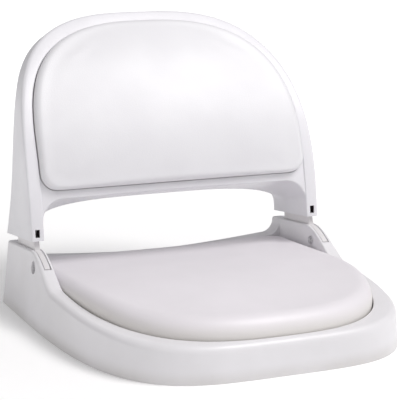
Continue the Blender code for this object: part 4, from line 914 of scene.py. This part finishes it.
SEAT_MIDDLE = (SEAT_REAR + SEAT_FRONT) / 2
seat_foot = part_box("seat_cushion_cover")[0].z
points, ring, faces = pad_grid(SEAT_MIDDLE, (SEAT_HALF_WIDTH, (SEAT_FRONT - SEAT_REAR) / 2), in_seat, seat_shoulder,
                               sunk(seat_crown, in_seat, SEAT_MIDDLE), seat_foot, SEAT_GRID)
points[:, 1] = REAR_Y - points[:, 1]
seat_cushion, moved = swollen("seat_cushion", points, ring, faces, held_from=sum(SEAT_GRID[:2]) - 2, fade=12)
# The border mark: the cushion's shoulder and sides take a darker, yellower colour, partly yellowing of the vinyl and
# partly painted shade.
edge_mark = smooth_step(ring, SEAT_GRID[0] + SEAT_GRID[1] * SEAT_BORDER_SHARE, sum(SEAT_GRID[:2]) + 1.0)
marked(seat_cushion, "border", edge_mark)
reworked(seat_cushion.data, outward)
refined(seat_cushion)

# Vinyl skin: a leather-like cell grain with fine pores, softened in patches where it has been sat on,
# and slow puckers of the foam below.
vinyl_skin, given, out = effect_group("vinyl_skin", {"Cells": 620.0}, ("Tone", "Gloss", "Height"))
cells = add_node(vinyl_skin, "ShaderNodeTexVoronoi", {"Vector": given["Place"], "Scale": given["Cells"],
                                                      "Smoothness": 0.6, "Randomness": 0.95}, feature="SMOOTH_F1")
pores = noise(vinyl_skin, given["Place"], scale=2400.0, detail=2.0)
rubbed = noise(vinyl_skin, given["Place"], scale=7.0, detail=3.0, roughness=0.55)
pucker = noise(vinyl_skin, given["Place"], scale=22.0, detail=2.0, roughness=0.4)
rise = sum_of(vinyl_skin, spread(vinyl_skin, cells.outputs["Distance"], 0.15, 0.75, 1.0, 0.0),
              sum_of(vinyl_skin, pores, 0.35, "MULTIPLY"))
vinyl_skin.links.new(spread(vinyl_skin, rubbed, 0.32, 0.68, 0.0, 1.0), out["Tone"])
vinyl_skin.links.new(sum_of(vinyl_skin, rubbed, sum_of(vinyl_skin, pores, 0.3, "MULTIPLY")), out["Gloss"])
vinyl_skin.links.new(sum_of(vinyl_skin, rise, sum_of(vinyl_skin, pucker, 3.0, "MULTIPLY")), out["Height"])


def vinyl(name, light, shade, border, gloss):
    """White marine vinyl: two tones in slow patches, and a darker, yellower border that is partly yellowing of the
    vinyl and partly painted shade on the cushion's shoulders and sides.
    """
    made, tree, shader, skin, _ = surface(
        name, vinyl_skin, gloss_range=(0.4, 0.9), roughness_range=(gloss - 0.04, gloss + 0.07),
        bump_strength=0.45, bump_distance=0.1 * MM)
    edge = add_node(tree, "ShaderNodeAttribute", attribute_name="border").outputs["Fac"]
    colour = tinted(tree, skin["Tone"], light, shade)
    tree.links.new(tinted(tree, edge, colour, border), shader.inputs["Base Color"])
    shader.inputs["Coat Weight"].default_value = 0.08
    shader.inputs["Coat Roughness"].default_value = 0.3
    return made


seat_vinyl = vinyl("seat_vinyl", light=(0.820, 0.790, 0.825), shade=(0.790, 0.763, 0.795),
                   border=(0.735, 0.715, 0.685), gloss=0.46)
painted(seat_cushion, seat_vinyl)
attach(seat_cushion, "base")
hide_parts("seat_cushion_cover", "seat_cushion_foam")

board_black = moulded("board_black", light=(0.035, 0.035, 0.038), shade=(0.05, 0.05, 0.052), streak_and_foot_colour=(0.12, 0.11, 0.10),
                      gloss=0.52, grain=700.0, depth=0.9)
for node in ("seat_cushion_board", "back_cushion_board"):
    for entry in bpy.data.objects[node].material_slots:
        entry.material = board_black


def pan_screw(length, radius, head_radius, head_height):
    """A pan-head screw at the origin, its head below and its shank up: a domed turned profile with a crossed recess."""
    dome = np.linspace(0, np.pi / 2, 9)
    flat = head_height * 0.45
    head = np.column_stack((head_radius * np.cos(dome[::-1]), -flat - (head_height - flat) * np.sin(dome[::-1])))
    profile = [(0, length), (radius * 0.55, length), (radius, length - radius), (radius, 0), (head_radius, 0)]
    profile += [tuple(point) for point in head[::-1]][:-1] + [(0, -head_height)]
    made = shown("screw", turned("screw", profile, 32))
    arm, thin, deep = head_radius * 0.55, head_radius * 0.14, head_height * 0.62
    cuts = [block("recess", (-x, -y, -head_height * 1.2), (x, y, -head_height + deep))
            for x, y in ((arm, thin), (thin, arm))]
    return taken(combine(made, cuts, "DIFFERENCE"))


screw_steel = metal("screw_steel", bright=(0.66, 0.66, 0.67), dull_colour=(0.50, 0.50, 0.50), gloss=0.30)
SCREW_RADIUS = 2.1 * MM
SCREW_HEAD_RADIUS = 4.4 * MM
SCREW_HEAD_HEIGHT = 2.4 * MM
SCREW_TURN = 0.7
for number in range(1, 7):
    node = "seat_cushion_screw_%d" % number
    low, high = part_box(node)
    seat = low.z + SCREW_HEAD_HEIGHT
    mesh = pan_screw(high.z - seat, SCREW_RADIUS, SCREW_HEAD_RADIUS, SCREW_HEAD_HEIGHT)
    turn = Matrix.Rotation(number * SCREW_TURN, 4, "Z")
    mesh.transform(Matrix.Translation(((low.x + high.x) / 2, (low.y + high.y) / 2, seat)) @ turn)
    screw = smooth(shown("seat_screw_%d" % number, mesh))
    painted(screw, screw_steel)
    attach(screw, "base")
    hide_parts(node)


# The back moulding: one leaning white shell. A rounded rim and deep side walls run down into two hollow
# legs, a ribbed panel carries the cushion, and a flared throat lines the opening below it.
BACK_HALF_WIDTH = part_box("back_shell")[1].x
BACK_SIDE_RIM = 19.1 * MM
POCKET_HALF_WIDTH = BACK_HALF_WIDTH - BACK_SIDE_RIM
POCKET_TOP = 335.0 * MM
BACK_LENGTH = 357.0 * MM
BACK_CENTRE = 60.0 * MM
BACK_POWER = 3.0
POCKET_CENTRE = 124.0 * MM
POCKET_POWER = 2.6
POCKET_BOTTOM = 68.5 * MM
POCKET_CORNER = 25.0 * MM
POCKET_DEPTH = 8.0 * MM
FLOOR_THICK = 3.2 * MM
RIM_THICK = 11.6 * MM
LEG_FRONT_AHEAD = 122.5 * MM
LEG_FOOT_HEIGHT = 115.0 * MM
LEAN_LOW = math.radians(5.4)
LEAN_HIGH = math.radians(42.8)
LEAN_START = -20.0 * MM
LEAN_END = 302.0 * MM
LEG_DEPTH = 127.0 * MM
TOP_DEPTH = 34.0 * MM
DEPTH_LEVELS_AT = 240.0 * MM
DEPTH_POWER = 1.32
WALL_LIFT = 13.5 * MM
BACK_ROUND = 7.0 * MM
LEG_ROUND = 3.0 * MM
BACK_INNER_ROUND = 2.0 * MM
BACK_REAR_ROUND = 1.2 * MM
OPENING_TOP = 56.5 * MM
OPENING_CORNER = 34.0 * MM
BAND_SETBACK = 1.4 * MM
LEG_SETBACK = 4.5 * MM
LIP_ROUND = 4.0 * MM
LEG_LIP_ROUND = 1.2 * MM
ARCH_HALF_WIDTH = POCKET_HALF_WIDTH - 7.5 * MM
ARCH_HEIGHT = 51.0 * MM
ARCH_POWER = 3.4
ARCH_FLARE = 7.0 * MM
ARCH_FLARE_WIDTH = 15.0 * MM
THROAT_LEG_DEPTH = 113.0 * MM
THROAT_TOP_DEPTH = 76.0 * MM
BACK_RIB_DEPTH = 22.0 * MM
BACK_RIB_SPREAD = 92.0 * MM
BACK_RIB_HEIGHTS = (133.0 * MM, 200.0 * MM, 266.0 * MM)
WINDOW_WIDTH = 6.4 * MM
WINDOW_HEIGHT = 11.0 * MM
WINDOW_CENTRE_HEIGHT = 10.5 * MM
WINDOW_EDGE_ROUND = 0.5 * MM
WINDOW_SEARCH_HEIGHT = 20.0 * MM
WINDOW_SEARCH_DEPTH = 4.0 * MM
BACK_SIDE_STATIONS = 36
BACK_TURN_STATIONS = 165
BACK_SCREW_SPREAD = 118.0 * MM
BACK_SCREW_HEIGHTS = (105.0 * MM, 233.0 * MM)
BACK_D = (BACK_HALF_WIDTH, BACK_CENTRE, BACK_LENGTH - BACK_CENTRE, BACK_POWER)
POCKET_D = (POCKET_HALF_WIDTH, POCKET_CENTRE, POCKET_TOP - POCKET_CENTRE, POCKET_POWER)

curve_height = np.linspace(-LEG_FOOT_HEIGHT, BACK_LENGTH + LEG_FOOT_HEIGHT, 400)
curve_lean = blend(LEAN_LOW, LEAN_HIGH, smooth_step(curve_height, LEAN_START, LEAN_END))
curve_step = curve_height[1] - curve_height[0]
curve_back = np.cumsum(np.sin(curve_lean)) * curve_step
curve_back -= np.interp(0, curve_height, curve_back)
curve_up = np.cumsum(np.cos(curve_lean)) * curve_step
curve_up -= np.interp(0, curve_height, curve_up)


def leaned(points):
    """Moves points drawn straight, as (x, depth, height), to the leaning back.

    The front face follows the curve whose lean grows in one S with height: y is the sum of its sines
    and z the sum of its cosines, and a depth is set off square to it.
    """
    x, depth, height = np.moveaxis(np.asarray(points, float), -1, 0)
    lean = np.interp(height, curve_height, curve_lean)
    y = REAR_Y - LEG_FRONT_AHEAD + np.interp(height, curve_height, curve_back) + depth * np.cos(lean)
    z = LEG_FOOT_HEIGHT + np.interp(height, curve_height, curve_up) - depth * np.sin(lean)
    return np.stack((x, y, z), axis=-1)


def wall_depth(height):
    """Depth of the side wall: 34 mm, and 93 mm more times (1 - height / 240 mm)^1.32 below that."""
    share = np.clip(height / DEPTH_LEVELS_AT, 0, 1)
    return blend(TOP_DEPTH, LEG_DEPTH, (1 - share) ** DEPTH_POWER)


def rim_rows():
    """Side wall, rounded rim and the rim's thick inner edge, for every station round the back's U."""
    sides = np.linspace(0, POCKET_CENTRE, BACK_SIDE_STATIONS)[:-1]
    start, heading = u_path(POCKET_CENTRE, sides, BACK_TURN_STATIONS)
    outer = d_reach(BACK_D, start, heading)
    inner = d_reach(POCKET_D, start, heading)
    height = start + heading[:, 1] * outer
    rounding = blend(LEG_ROUND, BACK_ROUND, smooth_step(height, OPENING_TOP, LEAN_END))
    deep = wall_depth(height)
    lift = WALL_LIFT * smooth_step(height, OPENING_TOP, LEAN_END)
    small, tip = BACK_INNER_ROUND, BACK_REAR_ROUND
    section = np.concatenate((
        arc_rows(outer - tip, deep - tip, tip, np.pi / 2, 0, 3),
        point_rows(outer, blend(rounding, deep, 0.66)), point_rows(outer, blend(rounding, deep, 0.33)),
        arc_rows(outer - rounding, rounding, rounding, 0, -np.pi / 2, 9),
        arc_rows(inner + small, small, small, -np.pi / 2, -np.pi, 4),
        point_rows(inner, RIM_THICK), point_rows(outer - WALL, RIM_THICK),
        arc_rows(outer - WALL + tip, deep - tip, tip, np.pi, np.pi / 2, 3)), axis=1)
    lifted = lift[:, None] * np.clip((section[:, :, 1] - rounding[:, None]) / (deep - rounding)[:, None], 0, 1)
    inside = np.arange(section.shape[1]) >= section.shape[1] - 6
    behind_rim = np.clip((section[:, :, 1] - RIM_THICK) / (deep - RIM_THICK)[:, None], 0, 1)
    lifted = np.where(inside, lift[:, None] * behind_rim, lifted)
    return leaned(np.stack((heading[:, :1] * section[:, :, 0], section[:, :, 1],
                            start[:, None] + heading[:, 1:] * section[:, :, 0] + lifted), axis=2))


def line_points(first, last, steps):
    """Points of a straight line, with both ends."""
    share = np.linspace(0, 1, steps + 1)[:, None]
    return np.asarray(first) * (1 - share) + np.asarray(last) * share


def throat_rows():
    """The band below the cushion and the throat of the opening, as one section carried round the opening.

    Each section starts at the pocket's edge, crosses the band's flat face, turns over the lip's quarter
    circle, runs straight back to the smaller arch, and returns behind the wall's thickness.
    """
    corner = OPENING_TOP - OPENING_CORNER
    edge = POCKET_HALF_WIDTH
    middle = (edge - OPENING_CORNER, corner)
    near = np.concatenate((line_points((edge, 0), (edge, corner), 10)[:-1],
                           arc_points(middle, OPENING_CORNER, 0, np.pi / 4, 9)[:-1],
                           arc_points(middle, OPENING_CORNER, np.pi / 4, np.pi / 2, 14)[:-1],
                           line_points((middle[0], OPENING_TOP), (0, OPENING_TOP), 30)))
    high = POCKET_BOTTOM + POCKET_CORNER
    key = edge + KEY_IN * 3
    far = np.concatenate((line_points((key, 0), (key, corner * 1.4), 10)[:-1],
                          line_points((key, corner * 1.4), (key, high), 9)[:-1],
                          arc_points((edge - POCKET_CORNER, high), POCKET_CORNER, 0, -np.pi / 2, 14)[:-1],
                          line_points((edge - POCKET_CORNER, POCKET_BOTTOM), (0, POCKET_BOTTOM), 30)))
    near = np.concatenate((near, near[-2::-1] * (-1, 1)))
    far = np.concatenate((far, far[-2::-1] * (-1, 1)))
    reach = np.linalg.norm(near, axis=1) + FIT_GAP
    ray = unit(near)
    arch = (np.abs(ray[:, 0] / ARCH_HALF_WIDTH) ** ARCH_POWER + np.abs(ray[:, 1] / ARCH_HEIGHT) ** ARCH_POWER)
    arch = arch ** (-1 / ARCH_POWER)
    flare = np.clip(1 - (ARCH_HALF_WIDTH - np.abs(ray[:, 0]) * arch) / ARCH_FLARE_WIDTH, 0, 1)
    end = blend(THROAT_TOP_DEPTH, THROAT_LEG_DEPTH, flare)
    arch = arch + ARCH_FLARE * flare
    front = blend(BAND_SETBACK, LEG_SETBACK, 1 - smooth_step(near[:, 1], corner * 0.3, corner * 0.95))
    lip = blend(LEG_LIP_ROUND, LIP_ROUND, smooth_step(near[:, 1], corner, OPENING_TOP * 0.9))
    behind = POCKET_DEPTH + FLOOR_THICK - FIT_GAP
    tip = 1.0 * MM
    section = np.concatenate((
        arc_rows(reach + lip, front + lip, lip, -np.pi / 2, -np.pi, 7),
        point_rows(blend(reach, arch, 0.33), front + lip + (end - front - lip) * 0.33),
        point_rows(blend(reach, arch, 0.66), front + lip + (end - front - lip) * 0.66),
        arc_rows(arch + tip, end - tip, tip, np.pi, np.pi / 2, 3),
        arc_rows(arch + WALL - tip, end - tip, tip, np.pi / 2, 0, 3),
        point_rows(reach + WALL, behind + tip)), axis=1)
    height = FIT_GAP + ray[:, 1:] * section[:, :, 0]
    rows = np.stack((ray[:, :1] * section[:, :, 0], section[:, :, 1], height), axis=2)
    toward = unit(near - far)
    rim = 0.9 * MM
    def at_far(inset, depth):
        place = far + toward * inset
        return np.stack((place[:, 0], depth + 0 * place[:, 0], place[:, 1] + FIT_GAP), axis=1)[:, None]
    rows = np.concatenate((at_far(0.0, behind), at_far(0.0, front + rim), at_far(rim * 0.3, front + rim * 0.3),
                           at_far(rim, front), rows), axis=1)
    return leaned(rows)


def panel_rows():
    """The plate behind the cushion, a little wider than the pocket at each height, as four corners a row."""
    top = POCKET_TOP + KEY_IN
    rise = np.sin(np.linspace(0, np.pi / 2, 34))
    height = np.concatenate((np.linspace(POCKET_BOTTOM - KEY_IN, POCKET_CENTRE, 12)[:-1],
                             POCKET_CENTRE + (top - POCKET_CENTRE) * rise))
    start = np.minimum(height, POCKET_TOP - KEY_IN)
    level = np.tile((1.0, 0.0), (len(start), 1))
    half = d_reach(POCKET_D, start, level) + KEY_IN
    return slab_rows(height, -half, half, POCKET_DEPTH, POCKET_DEPTH + FLOOR_THICK)


def slab_rows(height, low, high, near, far, end_rise=0.0):
    """A plate between two depths whose sides run at low and high along its height; its rear end may rise."""
    low, high = np.broadcast_to(low, height.shape), np.broadcast_to(high, height.shape)
    rear = height + np.where(np.arange(len(height)) == len(height) - 1, end_rise, 0.0)
    near, far = np.full(len(height), near), np.full(len(height), far)
    return leaned(np.stack((np.stack((low, near, height), 1), np.stack((high, near, height), 1),
                            np.stack((high, far, rear), 1), np.stack((low, far, rear), 1)), axis=1))


def panel_ribs():
    """Three ribs across the panel's rear and three up it, each ending inside the wall."""
    near = POCKET_DEPTH + FLOOR_THICK / 2
    ribs = []
    for height in BACK_RIB_HEIGHTS:
        end = d_reach(BACK_D, np.array([height]), np.array([(1.0, 0.0)]))[0] - WALL / 2
        row = np.array((height - RIB_THICK / 2, height + RIB_THICK / 2))
        ribs.append(carried("cross_rib", slab_rows(row, -end, end, near, BACK_RIB_DEPTH)))
    for x in (-BACK_RIB_SPREAD, 0.0, BACK_RIB_SPREAD):
        beyond = (1 - (abs(x) / BACK_HALF_WIDTH) ** BACK_POWER) ** (1 / BACK_POWER)
        top = BACK_CENTRE + (BACK_LENGTH - BACK_CENTRE) * beyond - WALL / 2
        far = BACK_RIB_DEPTH - RIB_THICK / 2
        lift = WALL_LIFT * smooth_step(top, OPENING_TOP, LEAN_END) * far / TOP_DEPTH
        height = np.linspace(OPENING_TOP + WALL / 4, top, 44)
        ribs.append(carried("upright_rib", slab_rows(height, x - RIB_THICK / 2, x + RIB_THICK / 2, near, far, lift)))
    return ribs


def tilting(height):
    """Turns and moves a straight small piece, drawn at this height, to its place on the leaning back."""
    lean = float(np.interp(height, curve_height, curve_lean))
    foot = leaned((0.0, 0.0, height))
    return Matrix.Translation(foot) @ Matrix.Rotation(-lean, 4, "X") @ Matrix.Translation((0, 0, -height))


back = shown("back_moulding", carried("back_moulding", rim_rows()))
additions = [carried("panel", panel_rows()), carried("throat", throat_rows())] + panel_ribs()
combine(back, additions, "UNION")
windows = []
for x in (-TONGUE_MIDDLE, TONGUE_MIDDLE):
    low = (x - WINDOW_WIDTH / 2, -OVERRUN, WINDOW_CENTRE_HEIGHT - WINDOW_HEIGHT / 2)
    high = (x + WINDOW_WIDTH / 2, RIM_THICK + OVERRUN, WINDOW_CENTRE_HEIGHT + WINDOW_HEIGHT / 2)
    window = block("window", low, high)
    window.transform(tilting(WINDOW_CENTRE_HEIGHT))
    windows.append(window)
combine(back, windows, "DIFFERENCE")


def on_window(place):
    """True at the mouth of either snap window, on the legs' front face."""
    return (on_wall(place, WINDOW_WIDTH) and place.z < LEG_FOOT_HEIGHT + WINDOW_SEARCH_HEIGHT
            and place.y < REAR_Y - LEG_FRONT_AHEAD + WINDOW_SEARCH_DEPTH)


round_off(back, WINDOW_EDGE_ROUND, 2, on_window)
back_holes = []
for height in BACK_SCREW_HEIGHTS:
    for side in (-1, 1):
        place = Matrix.Translation((side * BACK_SCREW_SPREAD, 0, height)) @ Matrix.Rotation(-math.pi / 2, 4, "X")
        hole = bar("hole", SCREW_HOLE_RADIUS, 0, BACK_RIB_DEPTH, 24, place)
        hole.transform(tilting(height))
        back_holes.append(hole)
combine(back, back_holes, "DIFFERENCE")
smooth(back)
# Painted shade: the back moulding is the same white plastic as the base, coloured darker to dim it; its snap windows
# also get painted shade below.
back_white_with_painted_shade = moulded("back_white_with_painted_shade", light=(0.775, 0.77, 0.80), shade=(0.74, 0.734, 0.765), streak_and_foot_colour=(0.55, 0.53, 0.50),
                     gloss=0.36, grain=1300.0, depth=0.5)
# Painted shade: a near-black colour mixed into the white on the snap windows' walls, where the deep recesses lie in
# shadow.
PAINTED_WINDOW_SHADE = (0.035, 0.020, 0.028)


def shaded(material, mask):
    """Mixes painted shade, a near-black colour, over the material's colour by a mask built from the object's own
    coordinates.
    """
    tree = material.node_tree
    place = add_node(tree, "ShaderNodeSeparateXYZ", {0: tree.nodes.new("ShaderNodeTexCoord").outputs["Object"]})
    socket = tree.nodes["Principled BSDF"].inputs["Base Color"]
    tree.links.new(tinted(tree, mask(tree, place.outputs), socket.links[0].from_socket, PAINTED_WINDOW_SHADE), socket)


def in_window(tree, place):
    """Where painted shade darkens the walls of a snap window: 1 from 0.8 mm behind the leg's front face, and 0
    elsewhere.
    """
    face = REAR_Y - LEG_FRONT_AHEAD + WINDOW_CENTRE_HEIGHT * math.sin(LEAN_LOW)
    level = LEG_FOOT_HEIGHT + WINDOW_CENTRE_HEIGHT
    aside = sum_of(tree, sum_of(tree, place["X"], 0.0, "ABSOLUTE"), TONGUE_MIDDLE, "SUBTRACT")
    aside = sum_of(tree, aside, 0.0, "ABSOLUTE")
    above = sum_of(tree, sum_of(tree, place["Z"], level, "SUBTRACT"), 0.0, "ABSOLUTE")
    mask = spread(tree, aside, WINDOW_WIDTH / 2 + 0.2 * MM, WINDOW_WIDTH / 2 + 0.6 * MM, 1.0, 0.0)
    mask = sum_of(tree, mask, spread(tree, above, WINDOW_HEIGHT / 2 + 0.4 * MM, WINDOW_HEIGHT / 2 + 0.8 * MM, 1.0, 0.0),
                  "MULTIPLY")
    return sum_of(tree, mask, spread(tree, place["Y"], face + 0.8 * MM, face + 1.8 * MM, 0.0, 1.0), "MULTIPLY")


shaded(back_white_with_painted_shade, in_window)
painted(back, back_white_with_painted_shade)
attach(back, "back")
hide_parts("back_shell")


# Back cushion: the same foam, board and seamless vinyl as the seat's, thinner, and let into the
# recess in the back moulding. Four screws through the panel hold its board.
PAD_GAP = 0.8 * MM
BACK_SHOULDER = 10.0 * MM
BACK_CROWN = 15.0 * MM
BACK_CROWN_SIDE = 10.0 * MM
PAD_MIDDLE = (POCKET_BOTTOM + POCKET_TOP) / 2

# Its front view is the pocket's outline less a small gap.
in_pad = cushion_view((POCKET_HALF_WIDTH - PAD_GAP, POCKET_CENTRE, POCKET_TOP - PAD_GAP - POCKET_CENTRE, POCKET_POWER),
                      POCKET_BOTTOM + PAD_GAP, POCKET_CORNER - PAD_GAP)


def pad_crown(x, height):
    """How far the back cushion stands proud: 15 mm, less 5 mm times the square of a soft maximum of both shares."""
    half = (POCKET_TOP - POCKET_BOTTOM) / 2
    share = ((np.abs(x) / POCKET_HALF_WIDTH) ** 5 + (np.abs(height - PAD_MIDDLE) / half) ** 5) ** (1 / 5)
    return BACK_CROWN - (BACK_CROWN - BACK_CROWN_SIDE) * np.minimum(share, 1) ** 2


points, ring, faces = pad_grid(PAD_MIDDLE, (POCKET_HALF_WIDTH, (POCKET_TOP - POCKET_BOTTOM) / 2), in_pad,
                               lambda heading: np.full(len(heading), BACK_SHOULDER),
                               sunk(pad_crown, in_pad, PAD_MIDDLE), FIT_GAP - POCKET_DEPTH, BACK_GRID)
back_cushion, moved = swollen("back_cushion", points, ring, faces, held_from=sum(BACK_GRID[:2]) - 2, fade=9)
formed = leaned(np.column_stack((moved[:, 0], -moved[:, 2], moved[:, 1])))
back_cushion.data.vertices.foreach_set("co", formed.ravel())
# The same border mark, weaker: partly yellowing of the vinyl, partly painted shade on the cushion's sides.
edge_mark = smooth_step(ring, BACK_GRID[0] + BACK_GRID[1] * BACK_BORDER_SHARE, sum(BACK_GRID[:2]) + 1.0)
marked(back_cushion, "border", BACK_BORDER_STRENGTH * edge_mark)
reworked(back_cushion.data, outward)
refined(back_cushion)
# Painted shade: the back cushion's vinyl is the seat's vinyl coloured darker, to dim it.
back_vinyl = vinyl("back_vinyl", light=(0.745, 0.742, 0.765), shade=(0.715, 0.710, 0.735),
                   border=(0.66, 0.64, 0.625), gloss=0.44)
painted(back_cushion, back_vinyl)
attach(back_cushion, "back")
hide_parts("back_cushion_cover", "back_cushion_foam")

PAD_SCREW_SEAT = POCKET_DEPTH + FLOOR_THICK + FIT_GAP
PAD_SCREW_TIP = 2.75 * MM
number = 0
for height in BACK_SCREW_HEIGHTS:
    for side in (-1, 1):
        number += 1
        mesh = pan_screw(PAD_SCREW_SEAT - PAD_SCREW_TIP, SCREW_RADIUS, SCREW_HEAD_RADIUS, SCREW_HEAD_HEIGHT)
        place = Matrix.Translation((side * BACK_SCREW_SPREAD, PAD_SCREW_SEAT, height))
        mesh.transform(tilting(height) @ place @ Matrix.Rotation(math.pi / 2, 4, "X") @ Matrix.Rotation(number, 4, "Z"))
        screw = smooth(shown("back_screw_%d" % number, mesh))
        painted(screw, screw_steel)
        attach(screw, "back")
        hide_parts("back_cushion_screw_%d" % number)


# Hinge arms: two glass-filled nylon blades. Each root snaps up into a hollow leg behind its window, and
# the tongue below it swings in the fork slot of the base's ear, where its rear edge is the stop.
ARM_EDGE_ROUND = 0.6 * MM
arm_white = moulded("arm_white", light=(0.76, 0.745, 0.755), shade=(0.71, 0.695, 0.70), streak_and_foot_colour=(0.42, 0.39, 0.36),
                    gloss=0.42, grain=900.0, depth=0.8)


def behind_window(tree, place):
    """Where painted shade darkens the root's front face behind the window: 1 there, and 0 from 4 mm further back and
    away from its height.
    """
    behind = REAR_Y - LEG_FRONT_AHEAD + RIM_THICK
    above = sum_of(tree, sum_of(tree, place["Z"], LEG_FOOT_HEIGHT + WINDOW_CENTRE_HEIGHT, "SUBTRACT"), 0.0, "ABSOLUTE")
    return sum_of(tree, spread(tree, place["Y"], behind + 3 * MM, behind + 4 * MM, 1.0, 0.0),
                  spread(tree, above, WINDOW_HEIGHT / 2 + 0.5 * MM, WINDOW_HEIGHT / 2 + 1.5 * MM, 1.0, 0.0), "MULTIPLY")


# Painted shade on the arm roots, where they show through the snap windows.
shaded(arm_white, behind_window)
for word in ("left", "right"):
    node = "hinge_arm_" + word
    mesh = bpy.data.objects[node].data.copy()
    reworked(mesh, merging(0.005 * MM), flattening(0.05))
    arm = smooth(shown("fold_arm_" + word, bevelled("fold_arm", mesh, ARM_EDGE_ROUND, 2, 42.0)))
    painted(arm, arm_white)
    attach(arm, "back")
    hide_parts(node)


# Hinge pins: turned stainless pins pushed in from outside, their low domed heads sunk in the ears' faces.
# A pushed-on ring holds each one inside the well, and nylon washers keep the tongue off the slot's walls.
PIN_RADIUS = 4.0 * MM
PIN_HEAD_RADIUS = 8.8 * MM
PIN_HEAD_THICK = 1.4 * MM
PIN_CHAMFER = 0.7 * MM
RETAINER_RADIUS = 6.5 * MM
WASHER_RADIUS = 9.0 * MM
RING_EDGE = 0.25 * MM
pin_steel = metal("pin_steel", bright=(0.62, 0.62, 0.63), dull_colour=(0.46, 0.46, 0.47), gloss=0.28)
washer_nylon = moulded("washer_nylon", light=(0.72, 0.72, 0.68), shade=(0.66, 0.65, 0.61), streak_and_foot_colour=(0.35, 0.33, 0.30),
                       gloss=0.45, grain=1100.0, depth=0.4)


def flat_ring(node, side, bore, outer, edge):
    """A flat ring on the hinge axis between the node's two faces: a rectangle with its edges taken off, turned."""
    low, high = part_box(node)
    near, far = sorted((abs(low.x), abs(high.x)))
    profile = [(outer, far - edge), (outer, near + edge), (outer - edge, near), (bore + edge, near),
               (bore, near + edge), (bore, far - edge), (bore + edge, far), (outer - edge, far)]
    return smooth(shown("turned_" + node, turned(node, profile, 72, across(side, 0))), 30.0)


for side, word in ((-1, "left"), (1, "right")):
    low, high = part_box("hinge_pin_" + word)
    tip, crest = sorted((abs(low.x), abs(high.x)))
    seat = crest - PIN_HEAD_THICK
    wide, thin = PIN_HEAD_RADIUS, PIN_RADIUS
    profile = [(0, crest), (wide * 0.5, crest - 0.05 * MM), (wide * 0.78, crest - 0.2 * MM),
               (wide * 0.93, crest - 0.5 * MM), (wide, crest - 0.95 * MM), (wide, seat), (thin, seat),
               (thin, tip + PIN_CHAMFER), (thin - PIN_CHAMFER, tip), (0, tip)]
    pin = smooth(shown("turned_pin_" + word, turned("pin", profile, 72, across(side, 0))), 30.0)
    painted(pin, pin_steel)
    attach(pin, "base")
    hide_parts("hinge_pin_" + word)
    node = "pin_retainer_" + word
    ring_piece = flat_ring(node, side, PIN_RADIUS + FIT_GAP, RETAINER_RADIUS, RING_EDGE)
    painted(ring_piece, pin_steel)
    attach(ring_piece, "base")
    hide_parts(node)
    for where in ("inner", "outer"):
        node = "thrust_washer_%s_%s" % (word, where)
        washer = flat_ring(node, side, PIN_RADIUS + FIT_GAP, WASHER_RADIUS, RING_EDGE / 2)
        painted(washer, washer_nylon)
        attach(washer, "base")
        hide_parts(node)
